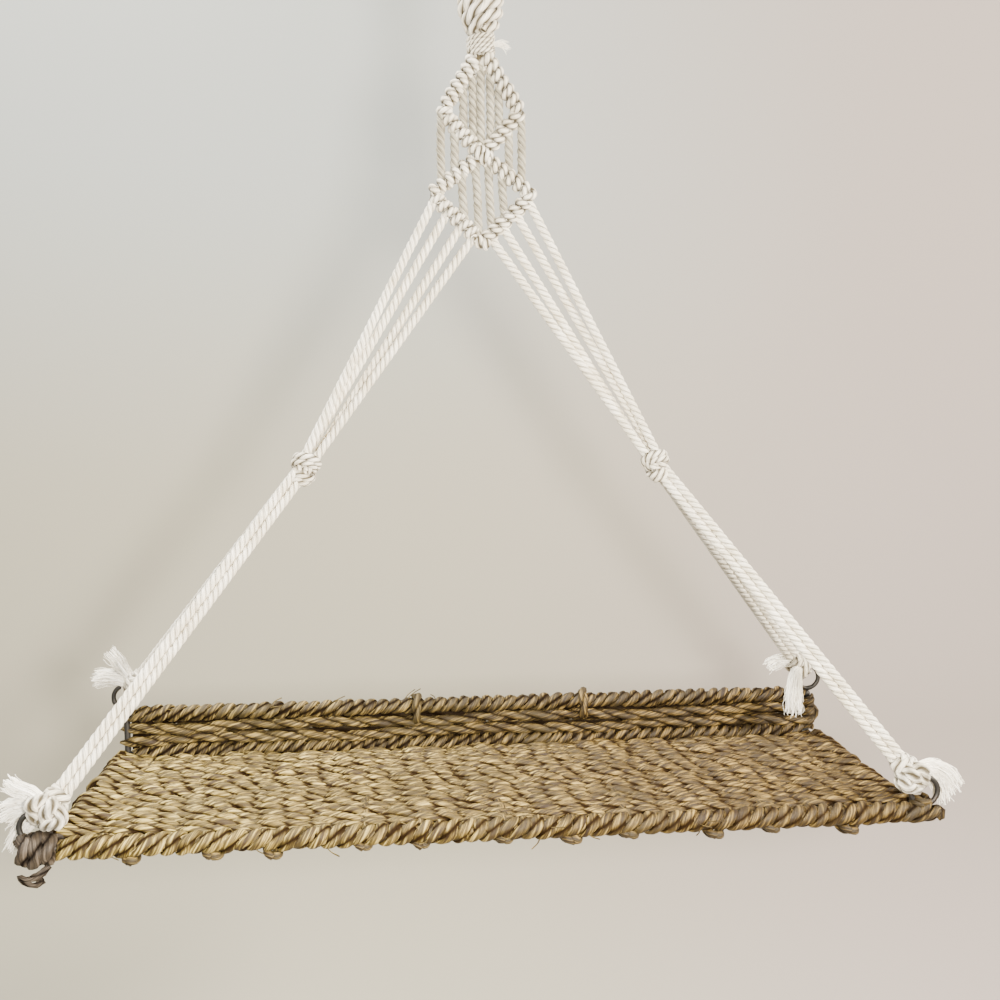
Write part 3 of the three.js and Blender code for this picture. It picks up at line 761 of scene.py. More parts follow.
def tube_rows(curves: str, sides: int | tuple[str, str]) -> list[tuple]:
    """List the nodes that give each curve a round section of the size "scale".

    Args:
        curves: the node that holds the curves.
        sides: how many sides the section has.

    Returns:
        Rows for grow; "lay" holds the tubes, with what their materials unwind.
    """
    return [
        ("circle", "GeometryNodeCurvePrimitiveCircle", {}, {"Resolution": sides, "Radius": 1.0}),
        ("kept_circle", STORE, VECTOR, {"Geometry": "circle", "Name": "section", "Value": "here"}),
        ("tubes", "GeometryNodeCurveToMesh", {},
         {"Curve": (curves, 0), "Profile Curve": "kept_circle", "Scale": "scale", "Fill Caps": True}),
        ("parts", SEPARATE, {}, ["section"]),
        ("lay_value", COMBINE, {}, ["parts", ("parts", 1), "along"]),
        ("lay", STORE, VECTOR, {"Geometry": "tubes", "Name": "lay", "Value": "lay_value"}),
    ]


def close_tree(tree: bpy.types.NodeTree, last: str, spent: Sequence[str]) -> None:
    """End a tree: drop its working attributes, smooth it, make it real and give it its material.

    Args:
        tree: the tree.
        last: the node that ends it so far.
        spent: the attributes to drop.
    """
    for key in spent:
        add_node(tree, f"drop_{key}", "GeometryNodeRemoveAttribute", {}, {"Geometry": (last, 0), "Name": key})
        last = f"drop_{key}"
    grow(tree, [
        ("smooth", "GeometryNodeSetShadeSmooth", {}, {"Geometry": (last, 0), "Shade Smooth": True}),
        ("real", "GeometryNodeRealizeInstances", {}, {"Geometry": "smooth"}),
        ("finish", "GeometryNodeSetMaterial", {}, {"Geometry": "real", "Material": ("in", "Material")}),
        ("end", "NodeGroupOutput", {}, {0: ("finish", 0)}),
    ])


def ply_tree() -> bpy.types.NodeTree:
    """Build the tree that lays strands round every route of a mesh.

    Returns:
        The tree. Its mesh carries "lay", "strand" and "depth" for the materials; "depth" sets their painted shade in
        the creases.
    """
    tree = new_tree("plied_cord", {
        "Int": ("Strands", "Sides"),
        "Float": ("Strand Radius", "Offset", "Turns", "Step", "Wander", "Wander Scale", "Rough", "Ridge", "Bury",
                  "Seed")})
    grow(tree, copy_rows("LENGTH", {"Length": ("in", "Step")}, "Strands"))
    grow(tree, [
        # Each strand's place round the cord
        ("share", MATH, OVER, [("several", "Duplicate Index"), ("in", "Strands")]),
        ("wound", MATH, TIMES_PLUS, ["along", ("in", "Turns"), "share"]),
        ("angle", MATH, TIMES, ["wound", TURN]),
        ("cosine", MATH, COSINE, ["angle"]),
        ("sine", MATH, SINE, ["angle"]),
        ("reach", MATH, TIMES, [("in", "Offset"), "swell"]),
        ("salt", MATH, TIMES_PLUS, [("several", "Duplicate Index"), 7.31, ("in", "Seed")]),
    ])
    grow(tree, spread_rows(("in", "Wander")))
    grow(tree, [
        ("keep_axis", STORE, VECTOR, {"Geometry": "named", "Name": "axis", "Value": "here"}),
        # An uneven thickness, different for each strand
        ("coarse", NOISE, FOUR_WAYS, {"Vector": "centre", "W": "salt", "Scale": 160.0, "Detail": 2.0}),
        ("uneven", MATH, LESS, [("coarse", "Fac"), 0.5]),
        ("unevenness", MATH, TIMES_PLUS, ["uneven", ("in", "Rough"), 1.0]),
        ("thick", MATH, TIMES, ["unevenness", "swell"]),
        ("scale", MATH, TIMES, ["thick", ("in", "Strand Radius")]),
    ])
    grow(tree, tube_rows("keep_axis", ("in", "Sides")))
    grow(tree, [
        # The squeeze: along the cord's side direction in, and across it out
        ("from_centre", VECTOR_MATH, LESS, ["here", "centre"]),
        ("side_part", VECTOR_MATH, DOT, ["from_centre", "side"]),
        ("over_part", VECTOR_MATH, DOT, ["from_centre", "over"]),
        ("squeeze", MATH, LESS, ["press", 1.0]),
        ("spread", MATH, TIMES, ["squeeze", -0.45]),
        ("side_step", MATH, TIMES, [("side_part", "Value"), "squeeze"]),
        ("over_step", MATH, TIMES, [("over_part", "Value"), "spread"]),
        ("side_move", VECTOR_MATH, SCALED, {0: "side", "Scale": "side_step"}),
        ("over_move", VECTOR_MATH, SCALED, {0: "over", "Scale": "over_step"}),
        ("squashed", VECTOR_MATH, PLUS, ["side_move", "over_move"]),
        # Leaf edges: ridges that run round each strand with its leaves
        ("strand", READ, {"data_type": "FLOAT"}, {"Name": "strand"}),
        ("axis", READ, {"data_type": "FLOAT_VECTOR"}, {"Name": "axis"}),
        ("round", MATH, ANGLE, [("parts", 1), "parts"]),
        ("leaf_angle", MATH, TIMES_PLUS, ["along", LEAF_WINDS * TURN, "round"]),
        ("leaf_cosine", MATH, COSINE, ["leaf_angle"]),
        ("leaf_sine", MATH, SINE, ["leaf_angle"]),
        ("leaf_along", MATH, TIMES, ["along", LEAF_STRETCH]),
        ("leaf_place", COMBINE, {}, ["leaf_cosine", "leaf_sine", "leaf_along"]),
        ("leaf_noise", NOISE, FOUR_WAYS,
         {"Vector": "leaf_place", "W": "strand", "Scale": 1.9, "Detail": 2.0, "Roughness": 0.45}),
        ("leaf_even", MATH, LESS, [("leaf_noise", "Fac"), 0.5]),
        ("leaf_rise", MATH, TIMES, ["leaf_even", ("in", "Ridge")]),
        ("from_axis", VECTOR_MATH, LESS, ["here", "axis"]),
        ("outward", VECTOR_MATH, UNIT, ["from_axis"]),
        ("leaf_step", VECTOR_MATH, SCALED, {0: "outward", "Scale": "leaf_rise"}),
        # How far out of the cord a point is, less on its flanks and where the cord sinks in: the depth that sets the
        # painted shade in the creases
        ("whole", MATH, PLUS, [("in", "Offset"), ("in", "Strand Radius")]),
        ("whole_here", MATH, TIMES, ["whole", "swell"]),
        ("far_out", VECTOR_MATH, {"operation": "LENGTH"}, ["from_centre"]),
        ("radial", MATH, OVER, [("far_out", "Value"), "whole_here"]),
        ("facing", MATH, OVER, [("side_part", "Value"), "whole_here"]),
        ("either_face", MATH, {"operation": "ABSOLUTE"}, ["facing"]),
        ("facing_less", MATH, LESS, ["either_face", 1.0]),
        ("buried", MATH, TIMES_PLUS, ["facing_less", ("in", "Bury"), "radial"]),
        ("sunk", MATH, TIMES, ["facing", "sink"]),
        ("depth_value", MATH, LESS, ["buried", "sunk"]),
        ("deep", STORE, NUMBER, {"Geometry": "lay", "Name": "depth", "Value": "depth_value"}),
        ("leafy", SHIFT, {}, {"Geometry": "deep", "Offset": "leaf_step"}),
        ("pressed", SHIFT, {}, {"Geometry": "leafy", "Offset": "squashed"}),
    ])
    close_tree(tree, "pressed", [*SPENT, "axis"])
    return tree


def fray_tree() -> bpy.types.NodeTree:
    """Build the tree that spreads many fine fibres along every route of a mesh.

    Returns:
        The tree. Its mesh carries "lay" and "strand" for the materials.
    """
    tree = new_tree("frayed_end", {
        "Int": ("Fibres", "Seed"),
        "Float": ("Radius", "Start Spread", "End Spread", "Wander", "Wander Scale", "Shortest", "Flat")})
    chance, number = "FunctionNodeRandomValue", {"data_type": "FLOAT"}
    own = {"ID": ("several", "Duplicate Index")}
    grow(tree, copy_rows("COUNT", {"Count": 20}, "Fibres"))
    grow(tree, [
        # Each fibre's place in the bundle
        ("angle", chance, number, {2: 0.0, 3: TURN, "Seed": ("in", "Seed"), **own}),
        ("other_seed", MATH, PLUS, [("in", "Seed"), 57.0]),
        ("raw_share", chance, number, {2: 0.0, 3: 1.0, "Seed": ("other_seed", 0), **own}),
        ("share", MATH, {"operation": "SQRT"}, [("raw_share", 1)]),
        ("round_cosine", MATH, COSINE, [("angle", 1)]),
        ("cosine", MATH, TIMES, ["round_cosine", ("in", "Flat")]),
        ("sine", MATH, SINE, [("angle", 1)]),
        ("bundle", RANGE, {},
         {"Value": "factor", "To Min": ("in", "Start Spread"), "To Max": ("in", "End Spread")}),
        ("wide", MATH, TIMES, ["bundle", "share"]),
        ("reach", MATH, TIMES, ["wide", "swell"]),
        # A wander that grows towards the loose ends
        ("salt", MATH, TIMES, [("several", "Duplicate Index"), 3.77]),
        ("loose", MATH, TIMES, [("in", "Wander"), "factor"]),
    ])
    grow(tree, spread_rows(("loose", 0)))
    grow(tree, [
        ("end_seed", MATH, PLUS, [("in", "Seed"), 113.0]),
        ("reach_share", chance, number, {2: ("in", "Shortest"), 3: 1.0, "Seed": ("end_seed", 0), **own}),
        ("cut", "GeometryNodeTrimCurve", {"mode": "FACTOR"}, {0: "named", 3: ("reach_share", 1)}),
        ("thin", RANGE, {}, {"Value": "factor", "To Min": 1.0, "To Max": 0.55}),
        ("scale", MATH, TIMES, ["thin", ("in", "Radius")]),
    ])
    grow(tree, tube_rows("cut", 5))
    close_tree(tree, "lay", SPENT)
    return tree


@dataclass(frozen=True)
class Fray:
    """How a cord's end comes apart into fibres, in millimetres.

    Args:
        fibres: how many there are.
        radius: each fibre's radius.
        spread: the bundle's radius at its start and at its end.
        wander: how far a fibre strays at its end.
        wander_size: how long its bends are.
        shortest: the shortest fibre, as a share of the route.
        flat: how flat the bundle is along its side direction.
        seed: a seed for its random draws.
    """

    fibres: int
    radius: float
    spread: tuple[float, float]
    wander: float
    wander_size: float = 9.0
    shortest: float = 0.6
    flat: float = 1.0
    seed: int = 1


CORD_ACROSS = 5.0
# The lower diamond's half width and its fall to the foot, and how far up its leg a corner's knot sits
LOWER_HALF_WIDTH = 30.7
LOWER_FALL = 28
CORNER_KNOT_RISE = 10.5
COTTON_PLY = Ply(strands=3, strand_radius=1.5, offset=1.22, lay=-14, step=1.0, sides=8, rough=0.06)
SEAGRASS_ROW = Ply(strands=2, strand_radius=2.4, offset=1.3, lay=28, step=1.6, sides=9, wander=0.6,
                   wander_size=14, rough=0.2, ridge=0.85, bury=0.55, seed=61)


def dress(piece: bpy.types.Object, body: str, slot: Slot, *nodes: str) -> bpy.types.Object:
    """Make a finished piece ride on its body and stand for its CAD nodes.

    Args:
        piece: the finished piece.
        body: the body that carries it.
        slot: its material slot; not used.
        nodes: the CAD nodes that it stands for.

    Returns:
        The same piece.
    """
    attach(piece, body)
    if nodes:
        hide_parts(*nodes)
    LOG.info("%s: %d faces on %s", piece.name, len(piece.data.polygons), body)
    return piece


@dataclass
class Group:
    """A group of pieces: the body that carries them, their usual ply, and what they are made with."""

    places: Places
    finishes: Finishes
    plying: bpy.types.NodeTree
    fraying: bpy.types.NodeTree
    body: ClassVar[str] = "hanger"
    ply: ClassVar[Ply] = COTTON_PLY

    def lay(
        self, name: str, routes: Sequence[Route], *nodes: str, finish: Coat | None = None, body: str | None = None,
        ply: Ply | None = None, **change: float,
    ) -> bpy.types.Object:
        """Lay one piece of cord along its routes, and dress it.

        Args:
            name: the piece's name.
            routes: the middle lines.
            nodes: the CAD nodes that it stands for.
            finish: its finish, where it isn't cotton.
            body: the body that carries it, where it isn't the group's.
            ply: how it is laid, where it isn't the group's usual ply.
            change: what differs in that ply.

        Returns:
            The finished piece.
        """
        laid, coat_on = replace(ply or self.ply, **change), finish or self.finishes.cotton
        piece = apply_tree(name, mesh_of_routes(name, routes), self.plying, {
            "Strands": laid.strands, "Strand Radius": metres(laid.strand_radius), "Offset": metres(laid.offset),
            "Turns": 1000 / laid.lay, "Step": metres(laid.step), "Sides": laid.sides,
            "Wander": metres(laid.wander) * 2, "Wander Scale": 1000 / laid.wander_size, "Rough": laid.rough * 2,
            "Ridge": metres(laid.ridge) * 2, "Bury": laid.bury / 2, "Seed": float(laid.seed),
            "Material": coat_on.material,
        })
        return dress(piece, body or self.body, coat_on.slot, *nodes)

    def fray(self, name: str, route: Route, fray: Fray) -> None:
        """Fray one piece along its route, and dress it.

        Args:
            name: the piece's name.
            route: the middle line.
            fray: how the fibres spread.
        """
        combed = self.finishes.combed
        piece = apply_tree(name, mesh_of_routes(name, [route]), self.fraying, {
            "Fibres": fray.fibres, "Radius": metres(fray.radius), "Start Spread": metres(fray.spread[0]),
            "End Spread": metres(fray.spread[1]), "Wander": metres(fray.wander) * 2,
            "Wander Scale": 1000 / fray.wander_size, "Shortest": fray.shortest, "Flat": fray.flat,
            "Seed": fray.seed, "Material": combed.material,
        })
        dress(piece, self.body, combed.slot)


HANDS = {"left": -1, "right": 1}


def side_of(corner: str) -> int:
    """Give -1 for a corner on the left and 1 for one on the right."""
    return HANDS[corner.split("_")[-1]]


# ---- Camera, light and backdrop


@dataclass
class Studio:
    """The camera at the photograph's place, soft light, and a pale wall and floor."""

    places: Places
    camera_from_rail: Vector = field(default_factory=lambda: Vector((-49.8, -542.1, 225.6)))
    focal_pixels: float = 1025
    image_pixels: float = 1000
    sensor_width: float = 36
    yaw_degrees: float = -5.46
    pitch_degrees: float = -4.71
    roll_degrees: float = -0.28
    wall_y: float = 430
    floor_below_tray: float = 520
    stage_reach: float = 3200
    cove_radius: float = 400
    cove_steps: int = 12
    air_light: float = 0.14
    air_seen: float = 0.95

    def camera(self) -> None:
        """Place the scene's camera."""
        yaw, pitch, roll = (math.radians(a) for a in (self.yaw_degrees, self.pitch_degrees, self.roll_degrees))
        forward = Vector((-math.sin(yaw) * math.cos(pitch), math.cos(yaw) * math.cos(pitch), math.sin(pitch)))
        right = Vector((math.cos(yaw), math.sin(yaw), 0))
        upward = right.cross(forward)
        rolled_right = right * math.cos(roll) + upward * math.sin(roll)
        rolled_up = upward * math.cos(roll) - right * math.sin(roll)
        data = bpy.data.cameras.new("camera")
        data.sensor_width = self.sensor_width
        data.lens = self.focal_pixels / self.image_pixels * self.sensor_width
        data.clip_start, data.clip_end = 0.02, 50
        camera = bpy.data.objects.new("camera", data)
        matrix = Matrix((rolled_right, rolled_up, -forward)).transposed().to_4x4()
        rail = Vector((0, self.places.front_y, self.places.tray))
        matrix.translation = (rail + self.camera_from_rail) / 1000
        camera.matrix_world = matrix
        bpy.context.scene.collection.objects.link(camera)
        bpy.context.scene.camera = camera

    def light(self, name: str, place: Vector, aim: Vector, size: float, watts: float, colour: str) -> None:
        """Add one soft square light.

        Args:
            name: the light's name.
            place: where it stands.
            aim: the point that it faces.
            size: its side.
            watts: its power.
            colour: its sRGB colour.
        """
        data = bpy.data.lights.new(name, "AREA")
        data.shape, data.size, data.energy = "SQUARE", metres(size), watts
        data.color = linear(colour)[:3]
        lamp = bpy.data.objects.new(name, data)
        lamp.location = place / 1000
        lamp.rotation_mode = "QUATERNION"
        lamp.rotation_quaternion = (aim - place).to_track_quat("-Z", "Y")
        bpy.context.scene.collection.objects.link(lamp)

    def backdrop(self, material: bpy.types.Material) -> None:
        """Make the floor and wall, joined by a cove, as one staged sheet.

        Args:
            material: its material.
        """
        floor = self.places.tray - self.floor_below_tray
        profile = [(-self.stage_reach, floor), (self.wall_y - self.cove_radius, floor)]
        for step in range(1, self.cove_steps + 1):
            angle = math.pi / 2 * step / self.cove_steps
            profile.append((self.wall_y - self.cove_radius * (1 - math.sin(angle)),
                            floor + self.cove_radius * (1 - math.cos(angle))))
        profile.append((self.wall_y, floor + self.stage_reach))
        points = [
            (metres(x), metres(y), metres(z)) for x in (-self.stage_reach, self.stage_reach) for y, z in profile]
        count = len(profile)
        faces = [(i, count + i, count + i + 1, i + 1) for i in range(count - 1)]
        sheet = smooth_mesh("backdrop", points, faces, material)

    def build(self) -> None:
        """Set up the camera, the lights and the backdrop."""
        self.camera()
        middle = Vector((0, 0, self.places.tray + 150))
        left_corner = Vector((-240, self.places.front_y, self.places.tray))
        camera_place = Vector((0, self.places.front_y, self.places.tray)) + self.camera_from_rail
        self.light("window", middle + Vector((1800, -900, 900)), middle, 400, 140, "#FFF6E8")
        self.light("lamp", camera_place + Vector((120, -20, 0)), middle, 85, 18, "#FFF7EA")
        self.light("overhead", middle + Vector((-550, 200, 1300)), middle, 420, 76, "#FFFDF8")
        self.light("fill_left", left_corner + Vector((-600, -650, 350)), left_corner, 300, 10, "#FFFFFF")
        world = bpy.data.worlds.new("studio_air")
        world.use_nodes = True
        ground = world.node_tree.nodes["Background"]
        ground.inputs["Color"].default_value = linear("#EEF0F0")
        grow(world.node_tree, [
            ("path", "ShaderNodeLightPath"),
            ("bright", RANGE, {},
             {"Value": ("path", "Is Camera Ray"), "To Min": self.air_light, "To Max": self.air_seen}),
        ])
        world.node_tree.links.new(world.node_tree.nodes["bright"].outputs[0], ground.inputs["Strength"])
        bpy.context.scene.world = world
        self.backdrop(Plaster().material())
        LOG.info("studio: camera, four lights and a backdrop")


# ---- The long cords


@dataclass
class LongCords(Group):
    """The taut cotton cords: eight from the lower diamond to the mid knots, eight on to the corners."""

    cord_pitch: float = 5.1
    front_to_back: float = 6.2
    start_shares: tuple[float, ...] = (0.91, 0.65, 0.38, 0.14)
    seats: tuple[tuple[int, int], ...] = ((1, -1), (1, 1), (-1, 1), (-1, -1))
    bottom: float = -226.009

    def string(self, node: str, body: str, route: list[Vector], seed: int) -> None:
        """Lay a taut cord.

        Args:
            node: the CAD node that it stands for.
            body: the body that carries it.
            route: its middle line.
            seed: a seed for its unevenness.
        """
        piece = self.lay(f"rope_{node}", [Route(route, BACK)], node, body=body, seed=seed)

    def upper_cord(self, side: int, number: int) -> list[Vector]:
        """Find the line of one cord from the lower diamond to a mid knot.

        Args:
            side: -1 for left, 1 for right.
            number: its place along the ridge, from outside.

        Returns:
            The line's points.
        """
        share = self.start_shares[number]
        start = Vector((side * share * LOWER_HALF_WIDTH, 0, self.bottom + LOWER_FALL * share))
        knot = Vector((side * self.places.mid_knot_reach, 0, self.places.tilt))
        along = (knot - Vector((0, 0, self.bottom))).normalized()
        outward = along.cross(BACK) * side
        out, back = self.seats[number]
        end = knot + outward * (out * self.cord_pitch / 2)
        end.y = back * self.front_to_back / 2
        return [start.lerp(end, i / 24) for i in range(25)]

    def leg(self, corner: str, offset: int) -> list[Vector]:
        """Find the line of one of the two cords from a mid knot to a corner.

        Args:
            corner: the corner's name.
            offset: which of the two it is, -1 or 1.

        Returns:
            The line's points, from the mid knot down.
        """
        side = side_of(corner)
        eye = self.places.eyes[corner]
        top = Vector((side * self.places.mid_knot_reach, 0, self.places.tilt))
        towards = (top - eye).normalized()
        sideways = towards.cross(BACK).normalized() * (offset * self.cord_pitch / 2)
        knot = eye + towards * CORNER_KNOT_RISE
        return [(top + sideways).lerp(knot + sideways, i / 30) for i in range(31)]

    def build(self) -> None:
        """Lay all the long cords."""
        for hand, side in HANDS.items():
            for number in range(len(self.start_shares)):
                self.string(
                    f"upper_cord_{hand}_{number + 1}", "hanger", self.upper_cord(side, number), number + 5 * side)
        for corner in self.places.eyes:
            side = side_of(corner)
            for offset, place in ((side, "outer"), (-side, "inner")):
                self.string(f"leg_{corner}_{place}", "tray", self.leg(corner, offset), 11 + offset)


# ---- Rods and rings of steel


ROD_ENDS = (0.0, 0.55, 0.85, 1.0)


def rod(start: Vector, end: Vector, radius: float) -> Route:
    """Run a straight rod with rounded ends.

    Args:
        start: one end.
        end: the other end.
        radius: the rod's radius, which sets how long the rounding is.

    Returns:
        The rod's route, its swell closing at both ends.
    """
    along = (end - start).normalized() * radius
    steps = (0.0, 0.18, 0.5, 1.0)
    points = [start + along * step for step in steps] + [end - along * step for step in reversed(steps)]
    side = along.orthogonal().normalized()
    return Route(points, side, 1.0, [*ROD_ENDS, *reversed(ROD_ENDS)])


def weld(place: Vector, along: Vector, reach: float) -> Route:
    """Make a weld bead on a rod.

    Args:
        place: its middle.
        along: the rod's direction.
        reach: half its length.

    Returns:
        A short route that swells past the rod.
    """
    shares = (-1, -0.8, -0.4, 0, 0.4, 0.8, 1)
    swells = [0.0, 0.8, 1.16, 1.28, 1.2, 0.85, 0.0]
    side = along.orthogonal().normalized()
    points = [place + along.normalized() * (reach * share) for share in shares]
    return Route(points, side, 1.0, swells)


def wire_ring(
    name: str, centre: Vector, radius: float, wire: float, steps: int, sides: int, weld_at: float,
    material: bpy.types.Material,
) -> bpy.types.Object:
    """Bend a wire into an upright ring, facing front, with a butt weld.

    Args:
        name: the piece's name.
        centre: the ring's middle.
        radius: the radius of the wire's middle line.
        wire: the wire's radius.
        steps: how many sections go round.
        sides: how many sides each section has.
        weld_at: the weld's place round the ring, in radians.
        material: its finish.

    Returns:
        The ring.
    """
    weld_width, weld_height = 0.16, 0.13
    points, faces = [], []
    for step in range(steps):
        angle = TURN * step / steps
        off = (angle - weld_at + math.pi) % TURN - math.pi
        thick = wire * (1 + weld_height * math.exp(-(off / weld_width) ** 2))
        outward = Vector((math.cos(angle), 0, math.sin(angle)))
        for side in range(sides):
            turn = TURN * side / sides
            points.append((centre + outward * (radius + thick * math.cos(turn))
                           + BACK * (thick * math.sin(turn))) / 1000)
            next_ring, next_side = (step + 1) % steps, (side + 1) % sides
            faces.append((step * sides + side, step * sides + next_side,
                          next_ring * sides + next_side, next_ring * sides + side))
    return smooth_mesh(name, points, faces, material)


# ---- The ring, the folded cords and the gathering ball


@dataclass
class HangingGear(Group):
    """The polished ring, four cords folded over it, and the ball of cord that gathers them."""

    body: ClassVar[str] = "folded_cords"
    ring_radius: float = 18
    ring_wire: float = 2
    ring_centre: float = -16
    cord_pitch: float = 5.5
    inner_bend: float = 4.9
    ball_radius: float = 10
    straight_share: float = 0.35
    ball_turns: int = 4
    ball_steps: int = 40
    pole_share: float = 0.06
    foot_above_ball: float = 6
    ring_weld_at: float = 1.1 - math.pi / 2

    def folded_cord(self, x: float, bend: float, foot: float) -> Route:
        """Fold one cord over the ring's wire and close it in towards the ball.

        Args:
            x: its place along the ring's width.
            bend: the radius of its fold.
            foot: how far apart its two runs are at the ball.

        Returns:
            The cord's route.
        """
        drop = self.places.swing - self.straight_share * (self.places.swing - self.places.ball)
        arc = [Vector((x, -bend * math.cos(math.pi * i / 12), self.places.swing + bend * math.sin(math.pi * i / 12)))
               for i in range(13)]
        foot_level = self.places.ball + self.foot_above_ball
        points = [Vector((x, -foot, foot_level)), Vector((x, -bend, drop)), *arc,
                  Vector((x, bend, drop)), Vector((x, foot, foot_level))]
        return Route.through(points, ACROSS, 1.0, 4)

    def ball(self) -> list[Route]:
        """Wind a cord round a ball in slanting turns, from its upper pole to its lower one.

        Returns:
            The winding's route.
        """
        radius = self.ball_radius - CORD_ACROSS / 2
        middle = Vector((0, 0, self.places.ball))
        points, outs = [], []
        steps = self.ball_steps * self.ball_turns
        for step in range(steps + 1):
            share = step / steps
            fall = math.pi * (self.pole_share + (1 - 2 * self.pole_share) * share)
            angle = TURN * self.ball_turns * share
            outward = Vector((math.sin(fall) * math.cos(angle), math.sin(fall) * math.sin(angle), math.cos(fall)))
            points.append(middle + outward * radius)
            outs.append(outward)
        return [Route(points, outs, 0.86)]

    def build(self) -> None:
        """Make the ring, the folded cords and the ball."""
        centre = Vector((0, 0, self.ring_centre))
        ring = wire_ring("polished_ring", centre, self.ring_radius, self.ring_wire, 120, 24,
                         self.ring_weld_at, self.finishes.bright_steel.material)
        dress(ring, "ring", Slot.BRIGHT_STEEL, "hanging_ring")
        side = self.cord_pitch / 2
        bends = {
            "inner": (self.inner_bend, side), "outer": (self.inner_bend + self.cord_pitch, side + self.cord_pitch)}
        for hand, sign in HANDS.items():
            for layer, (bend, foot) in bends.items():
                route = self.folded_cord(sign * side, bend, foot)
                self.lay(f"ring_cord_{hand}_{layer}", [route], f"folded_cord_{hand}_{layer}")
        self.lay("wound_ball", self.ball(), "gather_ball")


# ---- The neck


@dataclass
class Neck(Group):
    """The spiral sinnet, its wrapped foot and the wisps of the wrap's cut end."""

    body: ClassVar[str] = "neck"
    top: float = -59.6
    length: float = 46
    across: float = 27
    turns: float = 1.55
    bundles: int = 4
    bundle_inset: float = 3.5
    fullness: float = 1.5
    lump: float = 0.35
    head_share: float = 0.1
    head_closing: float = 0.25
    foot_from: float = 0.66
    foot_share: float = 0.34
    foot_closing: float = 0.42
    core_cords: int = 6
    core_reach: float = 4.4
    wrap_turns: float = 3.4
    wrap_pitch: float = 2.75
    wrap_slant: float = 0.05
    wrap_radius: float = 1.55
    wrap_across: float = 17.6
    wrap_top: float = -107.0

    def sinnet(self) -> list[Route]:
        """Twist thick bundles round the neck, closing in towards the foot.

        Returns:
            One route for each bundle.
        """
        routes = []
        steps = 90
        for number in range(self.bundles):
            points, outs, swells = [], [], []
            for step in range(steps + 1):
                share = step / steps
                foot = max(0.0, share - self.foot_from) / self.foot_share
                head = max(0.0, self.head_share - share) / self.head_share
                angle = 0.5 - TURN * (number / self.bundles + self.turns * share)
                radius = (self.across / 2 - self.bundle_inset) * (
                    1 - self.foot_closing * foot ** 1.3 - self.head_closing * head)
                outward = Vector((math.cos(angle), math.sin(angle), 0))
                lump = self.lump * math.sin(7 * angle + 2.1 * number)
                points.append(outward * (radius + lump) + UP * (self.top - 1.5 - (self.length - 2) * share))
                outs.append(outward)
                swells.append(self.fullness - (self.fullness - 1) * foot ** 1.2)
            routes.append(Route(points, outs, 0.95, swells))
        return routes

    def core(self) -> list[Route]:
        """Fill the neck's middle with straight cords."""
        foot = self.places.twist + 0.6
        routes = []
        for number in range(self.core_cords + 1):
            angle = TURN * number / self.core_cords
            reach = 0 if number == self.core_cords else self.core_reach
            place = Vector((reach * math.cos(angle), reach * math.sin(angle), 0))
            routes.append(Route.straight(place + UP * (self.top - 4), place * 0.85 + UP * foot, ACROSS))
        return routes

    def wrap(self) -> list[Route]:
        """Wind the wrap round the neck's foot, rising a little to the right."""
        radius = self.wrap_across / 2 - self.wrap_radius
        points, outs = [], []
        steps_a_turn = 36
        for step in range(int(steps_a_turn * self.wrap_turns) + 1):
            angle = TURN * step / steps_a_turn
            outward = Vector((math.cos(angle), -math.sin(angle), 0))
            level = self.wrap_top - self.wrap_pitch * step / steps_a_turn
            points.append(outward * radius + UP * (level + self.wrap_slant * radius * math.cos(angle)))
            outs.append(outward)
        return [Route(points, outs, 0.95)]

    def build(self) -> None:
        """Make the sinnet, the wrap and the wisps."""
        self.lay("spiral_sinnet", self.sinnet() + self.core(), "neck_sinnet", lay=-24, bury=0.45)
        self.lay("neck_binding", self.wrap(), "neck_wrap", strand_radius=0.84, offset=0.74, lay=-8.5, step=0.8,
                 bury=0.4)
        start = Vector((7.0, -3.0, self.places.twist + 4.2))
        wisp = Route.through([start + Vector(step) for step in (
            (0, 0, 0), (3.0, -1.5, 0.4), (6.5, -2.5, -0.4), (10.5, -3.0, -2.6))], UP)
        self.fray("neck_wisps", wisp, Fray(
            fibres=46, radius=0.2, spread=(1.0, 3.2), wander=3.4, shortest=0.35, seed=5))


# ---- The knotted diamonds


